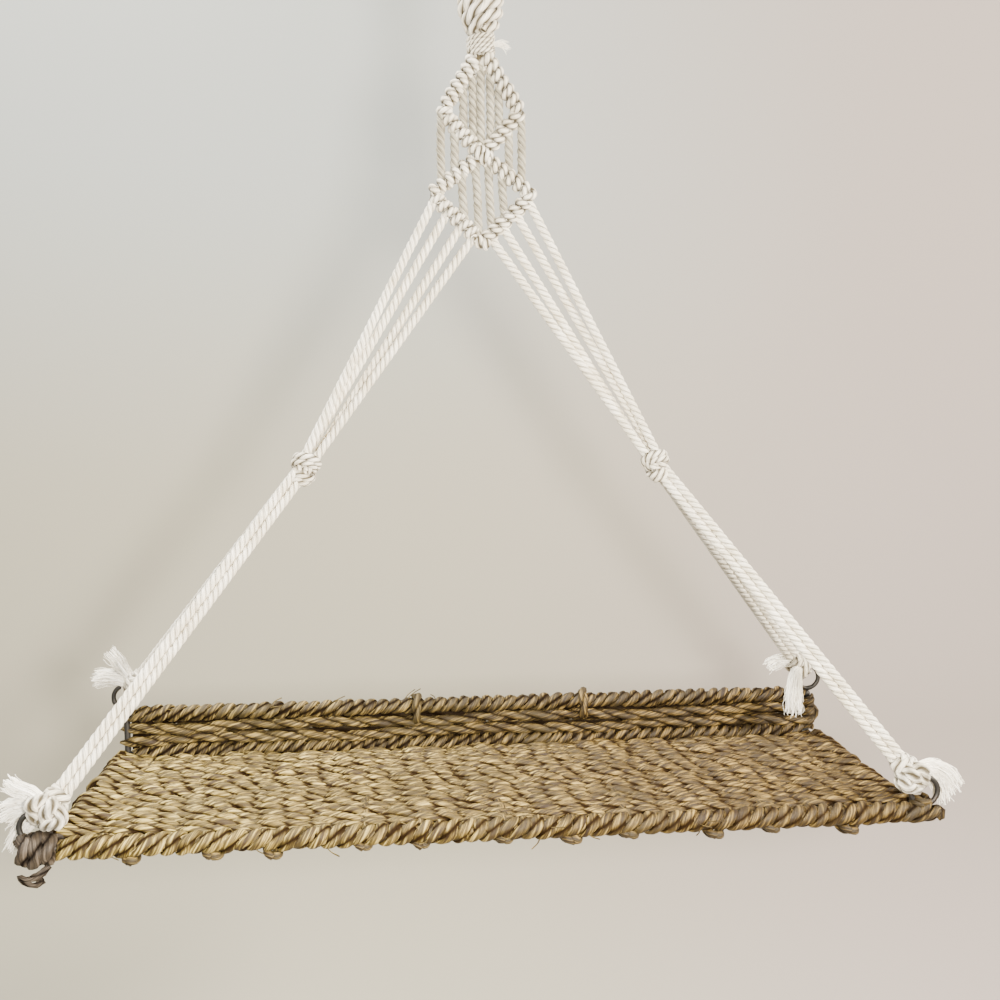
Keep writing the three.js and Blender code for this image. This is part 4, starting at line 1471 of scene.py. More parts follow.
@dataclass
class Diamonds(Group):
    """Two diamonds of hitched ridges with their inner and outer cords."""

    upper_half_width: float = 23.7
    upper_rise: float = 28
    upper_fall: float = 24.5
    lower_rise: float = 23.5
    bend: float = 5
    hitch_pitch: float = 5.6
    hitch_reach: float = 2.35
    hitch_steps: int = 26
    hitch_lean: float = 0.16
    hitch_wobble: tuple[float, float] = (-0.35, 0.45)
    first_hitches: float = 2.5
    first_fullness: float = 0.16
    upper_inner: int = 5
    upper_inner_pitch: float = 5.3
    lower_inner: int = 4
    lower_inner_pitch: float = 8
    lower_inner_lean: float = 2
    outer_reaches: tuple[tuple[str, float], ...] = (("near", 16.5), ("far", 24.0))

    def __post_init__(self) -> None:
        """Work out the levels downwards from the top knot."""
        self.apex = Vector((0, 0, self.places.apex.z))
        self.upper_corner = self.apex.z - self.upper_rise
        self.crossing = Vector((0, 0, self.upper_corner - self.upper_fall))
        self.lower_corner = self.crossing.z - self.lower_rise
        self.bottom = Vector((0, 0, self.lower_corner - LOWER_FALL))

    def bent_path(self, start: Vector, corner: Vector, end: Vector) -> list[Vector]:
        """Run two straight arms with a rounded corner between them.

        Args:
            start: where the first arm starts.
            corner: where the arms would meet.
            end: where the second arm ends.

        Returns:
            Points about a millimetre apart.
        """
        before = corner + (start - corner).normalized() * self.bend
        after = corner + (end - corner).normalized() * self.bend
        line = [start.lerp(before, i / 24) for i in range(24)]
        line += [before.lerp(corner, t / 8).lerp(corner.lerp(after, t / 8), t / 8) for t in range(8)]
        return line + [after.lerp(end, i / 24) for i in range(25)]

    def hitches(self, path: list[Vector], hand: int, trim: tuple[float, float], salt: int) -> Route:
        """Wind a cord round a path in close hitches.

        Args:
            path: the ridge's middle line.
            hand: which way the hitches turn.
            trim: how much of each end stays bare, in millimetres.
            salt: a seed for the small unevenness of each hitch.

        Returns:
            The hitches' route.
        """
        chance = random.Random(salt)
        total = route_length(path)
        turns = (total - sum(trim)) / self.hitch_pitch
        wobble = [chance.uniform(*self.hitch_wobble) for _ in range(int(turns) + 3)]
        points, outs, swells = [], [], []
        for step in range(int(turns * self.hitch_steps) + 1):
            turn = step / self.hitch_steps
            place, along = self.point_at(path, trim[0] + turn * self.hitch_pitch)
            over = along.cross(BACK)
            angle = hand * TURN * turn + 0.6
            outward = over * math.cos(angle) - BACK * math.sin(angle)
            share = turn % 1
            bump = wobble[int(turn)] * (1 - share) + wobble[int(turn) + 1] * share
            lean = self.hitch_lean * self.hitch_pitch * math.sin(angle) * hand
            points.append(place + outward * (self.hitch_reach + 0.35 * bump) + along * lean)
            outs.append(outward)
            starts = path[0].z > self.apex.z
            swells.append(1.0 + self.first_fullness * max(0.0, 1 - turn / self.first_hitches) * starts)
        return Route(points, outs, 1.06, swells)

    @staticmethod
    def point_at(path: list[Vector], distance: float) -> tuple[Vector, Vector]:
        """Find the point and the direction at a distance along a path.

        Args:
            path: the path's points.
            distance: how far along it.

        Returns:
            The point and the unit direction there.
        """
        left = distance
        for a, b in zip(path, path[1:]):
            length = (b - a).length
            if left <= length:
                return a.lerp(b, left / length), (b - a).normalized()
            left -= length
        return path[-1].copy(), (path[-1] - path[-2]).normalized()

    def ridge(self, node: str, path: list[Vector], hand: int, trim: tuple[float, float], salt: int) -> None:
        """Make one ridge: a bearing cord with hitches round it.

        Args:
            node: the CAD node that it stands for.
            path: its middle line.
            hand: which way its hitches turn.
            trim: how much of each end stays bare.
            salt: a seed for its unevenness.
        """
        bearing = Route(path, BACK, 1.0, 0.86)
        hitches = self.hitches(path, hand, trim, salt)
        self.lay(f"hitched_{node}", [bearing, hitches], node, strand_radius=1.75, offset=1.0, lay=-8.5, step=0.9,
                 bury=0.85, seed=salt)

    def small_knot(self, centre: Vector, turns: float, reach: float, slant: Vector, start: float) -> Route:
        """Wind a small round knot.

        Args:
            centre: its middle.
            turns: how many turns it has.
            reach: the radius of the cord's middle line.
            slant: the axis that it is wound about.
            start: the angle that it starts at.

        Returns:
            The knot's route.
        """
        axis = slant.normalized()
        first = axis.cross(BACK).normalized()
        second = axis.cross(first)
        points, outs = [], []
        steps = int(24 * turns)
        for step in range(steps + 1):
            share = step / steps
            angle = start + TURN * turns * share
            outward = first * math.cos(angle) + second * math.sin(angle)
            bulge = 1 - 0.45 * (2 * share - 1) ** 4
            points.append(centre + outward * (reach * bulge) + axis * ((share - 0.5) * 4.6 * turns))
            outs.append(outward)
        return Route(points, outs, 0.85)

    def knots(self) -> None:
        """Make the knot where the ridges start, and the small ones where they cross and meet."""
        apex = [
            Route.straight(self.apex + Vector((x, y, 8)), self.apex + Vector((0.7 * x, y, -4)), BACK)
            for x, y in ((-4.4, 2.6), (0.0, 3.0), (4.4, 2.6), (-2.6, 0.4), (2.6, 0.4))]
        self.lay("apex_knot", apex, "top_knot", seed=21)
        crossing = [
            self.small_knot(self.crossing + Vector((0.6, -2.6, -0.6)), 1.5, 2.8, Vector((0.8, 0, -1)), 0.4),
            self.small_knot(self.crossing + Vector((0, 1.2, 0)), 1.0, 2.4, Vector((-0.8, 0, -1)), 1.4)]
        foot = [self.small_knot(self.bottom + Vector((0.4, 0, -0.2)), 1.3, 2.6, Vector((1, 0, -0.7)), 0.9)]
        self.lay("crossing_knot", crossing, seed=23, bury=0.6)
        self.lay("foot_knot", foot, seed=25, bury=0.6)

    def ridge_point(self, ridge: str, x: float) -> Vector:
        """Find the point of a ridge at a place across.

        Args:
            ridge: which ridge it is.
            x: the place across.

        Returns:
            The point on the ridge's middle line.
        """
        level, slope = {
            "upper_top": (self.apex.z, -self.upper_rise / self.upper_half_width),
            "upper_foot": (self.crossing.z, self.upper_fall / self.upper_half_width),
            "lower_top": (self.crossing.z, -self.lower_rise / LOWER_HALF_WIDTH),
            "lower_foot": (self.bottom.z, LOWER_FALL / LOWER_HALF_WIDTH),
        }[ridge]
        return Vector((x, 0, level + slope * abs(x)))

    def inner_and_outer(self) -> None:
        """Lay the cords inside the diamonds and those beside the crossing."""
        runs: dict[str, tuple[Vector, Vector]] = {}
        for which, count, pitch, lean in (("upper", self.upper_inner, self.upper_inner_pitch, 0.0),
                                          ("lower", self.lower_inner, self.lower_inner_pitch, self.lower_inner_lean)):
            for i in range(count):
                x = (i - (count - 1) / 2) * pitch
                runs[f"{which}_inner_cord_{i + 1}"] = (
                    self.ridge_point(f"{which}_top", x), self.ridge_point(f"{which}_foot", x + lean))
        for hand, side in HANDS.items():
            for place, reach in self.outer_reaches:
                x = side * reach
                start = self.ridge_point("upper_foot", x)
                start.z = min(start.z, self.upper_corner)
                runs[f"outer_cord_{hand}_{place}"] = (start, self.ridge_point("lower_top", x))
        for number, (node, (start, end)) in enumerate(runs.items()):
            bow = Vector((0.5 * math.sin(number * 2.3), 0.35 * math.cos(number * 1.7), 0))
            route = Route.through([start, start.lerp(end, 0.5) + bow, end], BACK)
            # These cords take the darker cotton copy, as painted shade
            self.lay(f"rope_{node}", [route], node, finish=self.finishes.shaded_cotton, seed=30 + number)

    def build(self) -> None:
        """Make the ridges, the knots and the cords between them."""
        for hand, side in HANDS.items():
            under_wrap = self.apex + Vector((side * 2.6, -1.0, 4.6))
            upper = self.bent_path(
                under_wrap, Vector((side * self.upper_half_width, 0, self.upper_corner)), self.crossing)
            lower = self.bent_path(
                self.crossing, Vector((side * LOWER_HALF_WIDTH, 0, self.lower_corner)), self.bottom)
            self.ridge(f"ridge_upper_{hand}", upper, side, (0.6, 3.4), 41 + side)
            self.ridge(f"ridge_lower_{hand}", lower, side, (3.6, 2.6), 45 + side)
        self.knots()
        self.inner_and_outer()


# ---- The mid knots


@dataclass
class MidKnots(Group):
    """The overhand knots that turn four hanging cords into two pairs of legs."""

    # Down the leg, out from the middle, and back; one row a point of the pair of cords that wraps
    band: tuple[tuple[float, float, float], ...] = (
        (5.5, -2.0, 4.2), (1.5, -5.6, 3.6), (-3.4, -6.0, -0.6), (-5.6, -3.4, -5.0), (-4.6, 1.4, -7.0),
        (-1.6, 5.8, -5.2), (0.6, 7.4, 0.0), (2.2, 5.2, 5.0), (3.4, 0.0, 6.8), (4.6, -5.0, 4.8),
        (6.0, -7.6, 0.0), (7.6, -5.6, -4.2), (8.6, -1.0, -4.6), (9.4, 2.2, -2.0),
    )
    band_rise: float = 3.4
    band_share: float = 0.9
    # Each cord of the pair: how far down it is shifted, and how wide it wraps
    pair: tuple[tuple[float, float], ...] = ((0.0, 1.0), (3.3, 0.9))
    bundle: tuple[tuple[float, float], ...] = ((-2.0, -1.92), (2.0, -1.92), (-2.0, 1.92), (2.0, 1.92))

    def knot(self, side: int) -> list[Route]:
        """Tie one knot.

        Args:
            side: -1 for left, 1 for right.

        Returns:
            Its routes: the band that wraps, and the bundle that it holds.
        """
        centre = Vector((side * self.places.mid_knot_reach, 0, self.places.tilt))
        eye = self.places.eyes["front_right" if side > 0 else "front_left"]
        down = Vector((eye.x - centre.x, 0, eye.z - centre.z)).normalized()
        out = down.cross(BACK).normalized()
        if out.x * side < 0:
            out = -out

        def at(along: float, outward: float, back: float) -> Vector:
            """Place a point from the knot's middle."""
            return centre + down * along + out * outward + BACK * back

        routes = []
        for shift, pull in self.pair:
            points = [at(a * self.band_share + shift - self.band_rise, b * pull, y * pull) for a, b, y in self.band]
            line = smooth_route(points, 6)
            middle = [centre + down * ((p - centre).dot(down)) for p in line]
            outs = [(p - m).normalized() for p, m in zip(line, middle)]
            routes.append(Route(line, outs, 0.82, 0.94))
        routes += [Route.straight(at(-6.5, b, y), at(7.5, b, y), BACK) for b, y in self.bundle]
        return routes

    def build(self) -> None:
        """Tie both knots."""
        for hand, side in HANDS.items():
            self.lay(f"overhand_knot_{hand}", self.knot(side), f"mid_knot_{hand}", seed=50 + side, bury=0.6)


# ---- The tray


@dataclass
class Tray(Group):
    """The wire frame with its wound rails, woven deck and upstand."""

    body: ClassVar[str] = "tray"
    ply: ClassVar[Ply] = SEAGRASS_ROW
    side_reach: float = 235
    front_reach: float = 250
    wire: float = 2
    rows: int = 16
    front_across: float = 12
    back_across: float = 10
    column: float = 39
    warp_count: int = 11
    crest: float = 1.95
    loop_radius: float = 4.4
    deck_steps: int = 156
    edge_from: float = 214
    sag: float = 3.6
    sag_from: int = 25
    sag_rows: int = 6
    winding_steps: int = 20
    winding_size: tuple[float, float] = (-0.3, 0.6)
    winding_lean: tuple[float, float] = (1.0, 2.6)
    front_turns: int = 60
    back_turns: int = 58

    def at(self, x: float, y: float, z: float) -> Vector:
        """Place a point from the tray's own level."""
        return Vector((x, y, self.places.tray + z))

    def frame_wires(self) -> list[Route]:
        """Run the frame's wires and welds.

        Returns:
            One route for each.
        """
        front, back, rise = self.places.front_y, self.places.back_y, self.places.rail_rise
        side, wide = self.side_reach, self.front_reach
        runs = [(self.at(-wide, front, 0), self.at(wide, front, 0)),
                (self.at(-side, back, 0), self.at(side, back, 0)),
                (self.at(-side, back, rise), self.at(side, back, rise))]
        welds = []
        for x in (-side, side):
            runs.append((self.at(x, front, 0), self.at(x, back, 0)))
            runs.append((self.at(x, back, -self.wire), self.at(x, back, rise + self.wire)))
            for y, z in ((front, 0), (back, 0), (back, rise)):
                welds.append(weld(self.at(x - 0.8 * math.copysign(1, x), y, z), ACROSS, 3.2))
        return [rod(start, end, self.wire) for start, end in runs] + welds

    def winding(self, across: float, start: float, end: float, turns: float, y: float, z: float, salt: int) -> Route:
        """Wind a seagrass cord round a rail, leaning to the right as it comes up the front.

        Args:
            across: the wound rail's diameter.
            start: where the cord starts along the rail.
            end: where it ends.
            turns: how many turns it has.
            y: the rail's place.
            z: the rail's level above the deck's.
            salt: a seed for its unevenness.

        Returns:
            The winding's route.
        """
        chance = random.Random(salt)
        steps = self.winding_steps
        radius = (across / 2 + self.wire) / 2 + 0.1
        sizes = [chance.uniform(*self.winding_size) for _ in range(int(turns) + 3)]
        leans = [chance.uniform(*self.winding_lean) for _ in range(int(turns) + 3)]
        points, outs = [], []
        for step in range(int(turns * steps) + 1):
            turn = step / steps
            whole, share = int(turn), turn % 1
            ease = share * share * (3 - 2 * share)
            size = sizes[whole] * (1 - ease) + sizes[whole + 1] * ease
            lean = leans[whole] * (1 - ease) + leans[whole + 1] * ease
            angle = TURN * turn + math.pi
            outward = Vector((0, -math.cos(angle), math.sin(angle)))
            x = start + (end - start) * turn / turns + lean * math.sin(angle)
            points.append(self.at(x, y, z) + outward * (radius + size))
            outs.append(outward)
        return Route(points, outs, 0.68)

    def sleeve(self, across: float, reach: float, y: float, z: float) -> Route:
        """Bed a rail's wire in leaves, under its winding."""
        swell = (across / 2 - 1.6) / 2.6
        line = [self.at(reach * (i / 30 - 1), y, z) for i in range(61)]
        return Route(line, UP, 1.0, swell)

    def deck(self, first: int, last: int) -> list[Route]:
        """Weave some of the deck's half rows as one cord that turns back round the side wires.

        Each half row crests over one warp and dips under the next, against its neighbours.

        Args:
            first: the first half row, counted from the front rail.
            last: the one after the last.

        Returns:
            The cord's route.
        """
        chance = random.Random(71 + first)
        front = self.places.front_y + self.front_across / 2 + 0.3
        back = self.places.back_y - self.back_across / 2 - 0.3
        pitch = (back - front) / (2 * self.rows - 1)
        count = self.deck_steps
        points, presses, sinks = [], [], []
        for row in range(first, last):
            hand = 1 if row % 2 else -1
            y = front + (row - 0.4) * pitch
            drift, swing = chance.uniform(-3.5, 3.5), chance.uniform(0, TURN)
            for i in range(count + 1):
                share = 2 * i / count - 1
                x = hand * self.side_reach * share
                edge = max(0.0, (abs(x) - self.edge_from) / (self.side_reach - self.edge_from)) ** 2
                wave = math.cos(math.pi * (x + drift * (1 - share * share)) / self.column)
                crest = math.copysign(abs(wave) ** 0.8, wave)
                reach = self.crest * (1 + 0.22 * math.sin(x / 21 + swing)) * (1 - edge) + self.loop_radius * edge
                aside = 0.45 * math.sin(x / 17.0 + row * 1.3) + 0.5 * math.sin(x / 43.0 + row * 0.4)
                sag = self.sag * max(0.0, (row - self.sag_from) / self.sag_rows)
                height = hand * reach * crest - sag + 0.35 * math.sin(x / 8.7 + row * 2.1)
                points.append(self.at(x, y + aside, height))
                presses.append(1 - 0.3 * edge)
                # The sink follows each half row's crests and dips, shifting its painted shade
                sinks.append(-0.2 * hand * crest * (1 - edge))
            if row == last - 1:
                break
            slack = chance.uniform(-0.8, 1.5)
            for bend in range(1, 8):
                angle = math.pi * (0.5 - bend / 8)
                outward = Vector((hand * math.cos(angle), 0, hand * math.sin(angle)))
                centre = self.at(hand * self.side_reach, y + pitch * bend / 8, 0)
                points.append(centre + outward * (self.loop_radius + slack * math.cos(angle)))
                presses.append(0.7)
                sinks.append(0.0)
        return [Route(points, UP, presses, 1.0, sinks)]

    def warps(self) -> list[Route]:
        """Run the warps between the crossing rows, looped round the front rail and over the top one.

        Returns:
            One route for each warp.
        """
        chance = random.Random(83)
        front, back, rise = self.places.front_y, self.places.back_y, self.places.rail_rise
        around = ((-2.8, 5.8, -3.4), (-2.6, 1.4, -6.4), (-1.6, -2.6, -6.9), (0.4, -3.4, -7.0), (1.8, -0.6, -7.0),
                  (2.4, 3.4, -5.6), (1.4, 8.0, -2.6), (0.2, 13.0, -0.4))
        beyond = ((-30, -1.4), (-12, -2.6), (-6.4, -5.0), (0.0, -6.8), (5.4, -3.4), (5.6, 5.0), (5.0, 13.8),
                  (5.2, rise - 4))
        hidden, shown = ((2.0, rise - 2),), ((3.6, rise + 4.6), (-0.6, rise + 6.2), (-4.8, rise + 3.6),
                                             (-5.9, rise - 2.0), (-5.0, rise - 8.4), (-1.6, rise - 10.0))
        routes = []
        for number in range(self.warp_count):
            x = (number - (self.warp_count - 1) / 2) * self.column + chance.uniform(-6, 6)
            drop, wide = chance.uniform(-2.6, 0.9), chance.uniform(0.9, 2.0)
            points = [self.at(x + wide * dx, front + dy, dz - drop * (dz < 0)) for dx, dy, dz in around]
            points.append(self.at(x, (front + back) / 2, 0))
            over_top = shown if number in (4, 7) else hidden
            points += [self.at(x + chance.uniform(-0.8, 0.8), back + dy, dz) for dy, dz in beyond + over_top]
            routes.append(Route.through(points, ACROSS, 1.0, 7))
        return routes

    def upstand(self) -> list[Route]:
        """Run the upstand's two rows as one cord that turns back round the right-hand post.

        Returns:
            The cord's route.
        """
        rise, back = self.places.rail_rise, self.places.back_y
        low, high = rise * 0.35, rise * 0.65
        end = self.side_reach + 4.5
        count = 110
        points, swells = [], []
        for row, (start, stop, level) in enumerate(((-end, self.side_reach, high), (self.side_reach, -end, low))):
            for i in range(count + 1):
                x = start + (stop - start) * i / count
                wave = 1.5 * math.sin(x / 26 + 2 * row) + 0.6 * math.sin(x / 9.7 + row)
                weave = (1 - 2 * row) * 1.2 * math.cos(math.pi * x / self.column)
                points.append(self.at(x, back - 0.6 + weave, level + wave * 0.7))
                swells.append(min(1.0, 0.3 + (x + end) / 12))
            if row == 0:
                points += [self.at(self.side_reach + out, back, high + (low - high) * share)
                           for out, share in ((3.5, 0.12), (6.2, 0.5), (3.5, 0.88))]
                swells += [1.0] * 3
        return [Route(points, BACK, 1.0, swells)]

    def packing(self) -> list[Route]:
        """Pack the upstand behind its rows, and wind the right-hand post.

        Returns:
            The packing's routes.
        """
        rise, back = self.places.rail_rise, self.places.back_y
        routes = []
        for level in (0.2, 0.4, 0.6, 0.8):
            line = [self.at(x, back + 2.6, rise * level + 0.5 * math.sin(x / 19)) for x in range(-232, 233, 8)]
            # Its sink of -0.45 shifts the painted shade across these rows
            routes.append(Route(line, BACK, 0.8, 1.0, -0.45))
        points, outs = [], []
        steps, turns = 18, 4
        for step in range(steps * turns + 1):
            angle = TURN * step / steps
            outward = Vector((math.cos(angle), math.sin(angle), 0))
            level = 3.0 + (rise - 6.0) * step / (steps * turns)
            points.append(self.at(self.side_reach, back, level) + outward * 4.0)
            outs.append(outward)
        routes.append(Route(points, outs, 0.7, 0.86))
        return routes

    def rail_end(self, side: int) -> list[Route]:
        """Finish the front rail's end: a neat last turn or two at the right, a big slack lump at the left.

        Args:
            side: -1 for left, 1 for right.

        Returns:
            The end's routes.
        """
        front = self.places.front_y
        if side > 0:
            route = self.winding(self.front_across, 231.5, 248.5, 2.6, front, 0.0, 113)
            last = route.points[-1]
            route.points += [last + Vector((2.2, 1.0, -2.4)), last + Vector((1.0, 3.2, -5.0))]
            route.out += [route.out[-1]] * 2
            points, outs = [], []
            for step in range(34):
                angle = TURN * step / 15
                outward = Vector((math.cos(angle), math.sin(angle), 0))
                points.append(self.at(239.5 + 0.1 * step, front, 5.2 + 0.06 * step) + outward * 3.4)
                outs.append(outward)
            return [route, Route(points, outs, 0.8, 0.7)]
        points, outs = [], []
        turns, steps = 3.1, 22
        for step in range(int(turns * steps) + 1):
            share = step / (turns * steps)
            angle = TURN * turns * share + 2.4
            outward = Vector((0, -math.cos(angle), math.sin(angle)))
            bulge = 5.0 + 1.9 * math.sin(math.pi * share) + 0.5 * math.sin(5 * angle)
            x = -233.5 - 18.0 * share + 2.4 * math.sin(angle + 0.7)
            points.append(self.at(x, front - 1.2, 0.4) + outward * bulge)
            outs.append(outward)
        lump = Route(points, outs, 0.8, 1.2)
        curl = Route.through([self.at(x, front + y, z) for x, y, z in (
            (-236, -3, -8), (-240, -6, -11.5), (-246, -6.5, -13.5), (-250, -6, -12.5), (-247.5, -5, -16),
            (-242.5, -5, -17.4), (-238.5, -5, -14.6))], BACK, 0.6, 6)
        curl.swell = 0.5
        return [lump, curl]

    def whiskers(self) -> list[Route]:
        """Let a few thin leaf ends stray from the rails.

        Returns:
            One route for each.
        """
        chance = random.Random(97)
        routes = []
        rails = ((self.places.front_y, 0.0, 6.4, 16), (self.places.back_y, self.places.rail_rise, 5.4, 10))
        for y, z, reach, count in rails:
            for _ in range(count):
                x, angle = chance.uniform(-228, 228), chance.uniform(-0.5, 3.6)
                outward = Vector((chance.uniform(-0.5, 0.5), -math.cos(angle), math.sin(angle) * (1 if z else -1)))
                along = Vector((chance.uniform(-1, 1), 0, 0)).normalized()
                start = self.at(x, y, z) + outward.normalized() * (reach - 1.5)
                length, bend = chance.uniform(5, 11), chance.uniform(-0.6, 0.6)
                routes.append(Route.through(
                    [start, start + outward * (0.4 * length) + along * (0.3 * length),
                     start + outward * (0.7 * length + bend) + along * (0.8 * length)], BACK, 0.5, 5))
        return routes

    def build(self) -> None:
        """Make the frame, the windings, the deck and the upstand."""
        straw, brown = self.finishes.seagrass, self.finishes.brown_seagrass
        steel = Ply(strands=1, strand_radius=self.wire, offset=0, lay=1000, step=0.6, sides=20)
        self.lay("welded_wire_frame", self.frame_wires(), "wire_frame", finish=self.finishes.dark_steel, ply=steel)
        for number, (corner, centre) in enumerate(self.places.eyes.items()):
            ring = wire_ring(f"wire_eye_{corner}", centre, 8.0, 1.5, 64, 14, 0.7 + number * 1.4,
                             self.finishes.dark_steel.material)
            dress(ring, "tray", Slot.DARK_STEEL, f"eye_{corner}")
        for name, first, last, nodes in (("front", 1, 17, ["deck_weave"]), ("back", 17, 32, [])):
            self.lay(f"woven_deck_{name}", self.deck(first, last), *nodes, finish=straw, seed=60 + first)
        self.lay("deck_warps", self.warps(), finish=brown, strand_radius=2.2, offset=1.1, lay=24, sides=8, ridge=0.5,
                 bury=0.0, seed=67)
        wound = replace(SEAGRASS_ROW, strand_radius=2.3, offset=1.2, lay=25, step=1.1, ridge=0.75, bury=0.36, seed=73)
        bed = Ply(strands=1, strand_radius=2.6, offset=0, lay=1000, step=2, sides=10, rough=0.3, ridge=0.8, seed=91)
        reach = self.side_reach - self.wire - 1.2
        front, back, rise = self.places.front_y, self.places.back_y, self.places.rail_rise
        for name, across, far, turns, y, z, salt, finish in (
                ("front", self.front_across, reach, self.front_turns, front, 0.0, 101, straw),
                ("back", self.back_across, reach - 1, self.back_turns, back, 1.2, 103, brown),
                ("top", self.back_across, reach - 1, self.back_turns, back, rise, 107, brown)):
            slim = 0.15 * (self.front_across - across)
            self.lay(f"wound_rail_{name}", [self.winding(across, -far, far, turns, y, z, salt)], f"{name}_winding",
                     finish=finish, ply=wound, strand_radius=wound.strand_radius - slim / 2,
                     offset=wound.offset - slim / 4, seed=salt)
            self.lay(f"rail_bedding_{name}", [self.sleeve(across, far, y, z)], finish=brown, ply=bed)
        self.lay("upstand_rows", self.upstand(), "upstand_weave", finish=brown, strand_radius=2.6, offset=1.35,
                 lay=38, bury=0.0, seed=79)
        self.lay("upstand_packing", self.packing(), finish=brown, strand_radius=2.3, offset=1.2, lay=60, bury=0.0,
                 seed=89)
        hair = Ply(strands=1, strand_radius=0.3, offset=0, lay=1000, step=1, sides=5, rough=0.4, seed=95)
        self.lay("rail_whiskers", self.whiskers(), finish=straw, ply=hair)
        # The left lump takes the darker seagrass copy, as painted shade
        for hand, finish in (("left", self.finishes.dark_shaded_seagrass), ("right", brown)):
            self.lay(f"rail_lump_{hand}", self.rail_end(HANDS[hand]), f"rail_end_{hand}", finish=finish, ply=wound,
                     seed=110 + HANDS[hand])


# ---- The corner knots


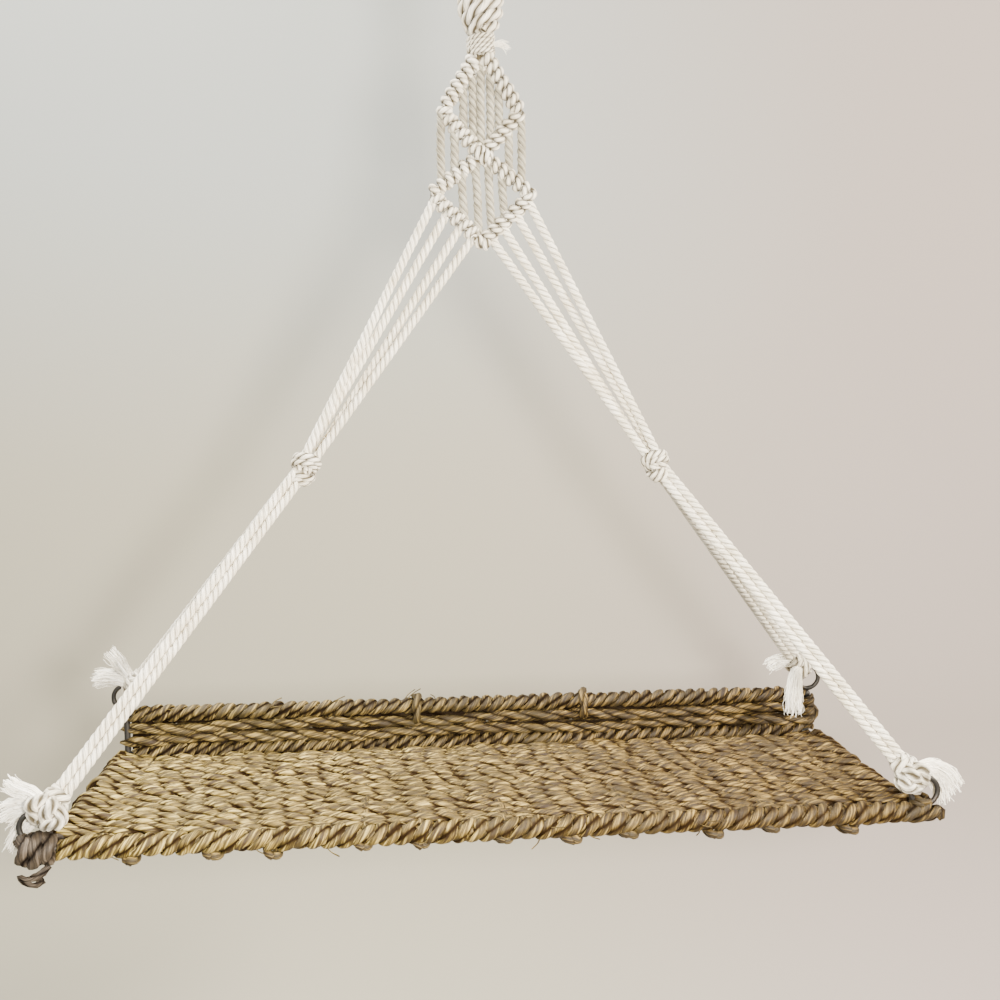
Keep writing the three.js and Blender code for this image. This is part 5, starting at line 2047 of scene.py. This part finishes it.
@dataclass
class CornerKnots(Group):
    """The hitches that tie the legs to the tray's eyes, with their frayed tassels."""

    body: ClassVar[str] = "tray"
    eye_radius: float = 8
    tassel_length: float = 27
    # Where each corner's folds pass round its eye, in degrees from the leg's direction
    folds: dict[str, tuple[float, ...]] = field(default_factory=lambda: {
        "front_left": (-42, -2, 38), "front_right": (-38, -4, 26), "back_left": (-22, 20), "back_right": (-22, 20)})
    # Each wrap of the binding: its height above the eye, its radius, its turns and its slant
    wraps: tuple[tuple[float, float, float, float], ...] = (
        (13.0, 5.3, 1.2, 3.0), (16.6, 4.9, 1.3, -1.8), (20.0, 3.6, 1.1, 1.2))
    # Each tassel's middle lines from its knot, as shares of its length; the first of each is the main one
    tassels: dict[str, tuple[tuple[tuple[float, float, float], ...], ...]] = field(default_factory=lambda: {
        "front_left": (
            ((-0.05, -0.1, 0.1), (-0.36, 0.0, 0.1), (-0.7, 0.1, 0.0), (-1.0, 0.12, -0.16)),
            ((-0.05, -0.1, 0.15), (-0.3, 0, 0.34), (-0.6, 0.05, 0.44), (-0.84, 0.1, 0.6)),
            ((-0.05, -0.1, 0.0), (-0.3, 0.0, -0.14), (-0.56, 0.06, -0.44), (-0.78, 0.1, -0.86)),
        ),
        "front_right": (
            ((0.1, 0.0, 0.12), (0.46, 0.06, 0.16), (0.82, 0.12, -0.06), (1.05, 0.14, -0.44)),
            ((0.1, 0.0, 0.05), (0.4, 0.1, 0.06), (0.66, 0.12, -0.24), (0.82, 0.14, -0.72)),
        ),
        "back_left": (
            ((-0.05, 0.0, 0.1), (-0.32, 0.02, 0.2), (-0.62, 0.04, 0.24), (-0.98, 0.05, 0.22)),
            ((-0.05, 0, 0.2), (-0.2, 0.0, 0.4), (-0.38, 0.05, 0.64), (-0.6, 0.05, 0.92)),
        ),
        "back_right": (
            ((-0.1, -0.1, 0), (-0.3, -0.42, -0.08), (-0.4, -0.56, -0.56), (-0.4, -0.58, -1.1)),
            ((-0.1, 0, 0.1), (-0.4, -0.1, 0.22), (-0.74, -0.15, 0.2), (-1.0, -0.2, 0.08)),
        ),
    })

    def local(self, corner: str) -> tuple[Vector, Vector, Vector, Vector]:
        """Find a corner's own directions.

        Args:
            corner: the corner's name.

        Returns:
            The eye's centre, and the directions up the leg, outwards across it, and towards the front.
        """
        side = side_of(corner)
        eye = self.places.eyes[corner]
        up = (Vector((side * self.places.mid_knot_reach, 0, self.places.tilt)) - eye).normalized()
        outer = up.cross(BACK).normalized() * -side
        near = (up * BACK.dot(up) - BACK).normalized()
        return eye, up, outer, near

    def folded(self, corner: str) -> list[Route]:
        """Fold broad cords through the eye, gathered into the knot.

        Args:
            corner: the corner's name.

        Returns:
            One route for each fold.
        """
        eye, up, outer, near = self.local(corner)
        routes = []
        for number, angle in enumerate(self.folds[corner]):
            turn = math.radians(angle)
            inward = Vector((up.x, 0, up.z)).normalized()
            spoke = inward * math.cos(turn) + outer * math.sin(turn)
            wire = eye + spoke * self.eye_radius
            gather = eye + up * (17 + number % 2) + outer * (3.6 * math.sin(turn))
            points = [gather + near * 2.6, wire + spoke * 5.0 + near * 5.2]
            for bend in range(7):
                around = math.pi * bend / 6
                points.append(wire + near * (4.1 * math.cos(around)) - spoke * (4.1 * math.sin(around)))
            points += [wire + spoke * 5.0 - near * 4.6, gather - near * 2.4]
            route = Route.through(points, outer, 1.26, 5)
            route.swell = 1.08
            routes.append(route)
        return routes

    def binding(self, corner: str) -> list[Route]:
        """Wind the cord that binds the folds into a knot, round a core that fills it.

        Args:
            corner: the corner's name.

        Returns:
            The binding's routes.
        """
        eye, up, outer, near = self.local(corner)
        side = side_of(corner)
        routes = []
        for layer, (rise, radius, turns, slant) in enumerate(self.wraps):
            points, outs = [], []
            steps = int(28 * turns)
            for step in range(steps + 1):
                share = step / steps
                angle = TURN * turns * share * side + layer * 1.9
                outward = outer * math.cos(angle) + near * math.sin(angle)
                level = rise + slant * math.cos(angle + 0.6) + (share - 0.5) * 4.0
                reach = radius * (1 + 0.1 * math.sin(3 * angle + layer))
                points.append(eye + up * level + outward * reach)
                outs.append(outward)
            start, end = points[0] - outs[0] * 2.4, points[-1] - outs[-1] * 2.6 - up * 2.0
            routes.append(Route([start, *points, end], [outs[0], *outs, outs[-1]], 0.78, 1.16))
        for across in (-2.5, 2.5):
            for front in (-1.8, 1.8):
                foot = eye + up * 9 + outer * across + near * front
                routes.append(Route.straight(foot, eye + up * 22 + outer * across + near * (front * 0.5), BACK))
        return routes

    def build(self) -> None:
        """Tie all four knots and fray their ends."""
        for number, corner in enumerate(self.tassels):
            routes = self.folded(corner) + self.binding(corner)
            self.lay(f"corner_hitch_{corner}", routes, f"corner_knot_{corner}", lay=-17, bury=0.5, seed=120 + number)
            eye, up = self.local(corner)[:2]
            origin = eye + up * CORNER_KNOT_RISE
            lines = [Route.through([origin + Vector(p) * self.tassel_length for p in line], BACK)
                     for line in self.tassels[corner]]
            for which, line in enumerate(lines):
                main = which == 0
                yarns = Fray(fibres=46 if main else 26, radius=0.52, spread=(3.4, 6.4 if main else 4.6), wander=2.2,
                             wander_size=8, shortest=0.74, flat=0.8, seed=130 + 10 * number + which)
                fine = Fray(fibres=170 if main else 90, radius=0.2, spread=(3.6, 7.4 if main else 5.8), wander=3.6,
                            wander_size=6, shortest=0.6, flat=0.85, seed=140 + 10 * number + which)
                for kind, fray in (("yarns", yarns), ("fibres", fine)):
                    self.fray(f"tassel_{kind}_{corner}_{which + 1}", line, fray)


# ---- The whole shelf


def main() -> None:
    """Build the studio and the shelf."""
    logging.basicConfig(level=logging.INFO, format="%(name)s: %(message)s")
    places = Places.from_frame(frame["joints"])
    Studio(places).build()
    kit = (places, Finishes(), ply_tree(), fray_tree())
    for group in (LongCords, HangingGear, Neck, Diamonds, MidKnots, Tray, CornerKnots):
        group(*kit).build()
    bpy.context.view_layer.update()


if __name__ == "__main__":
    main()
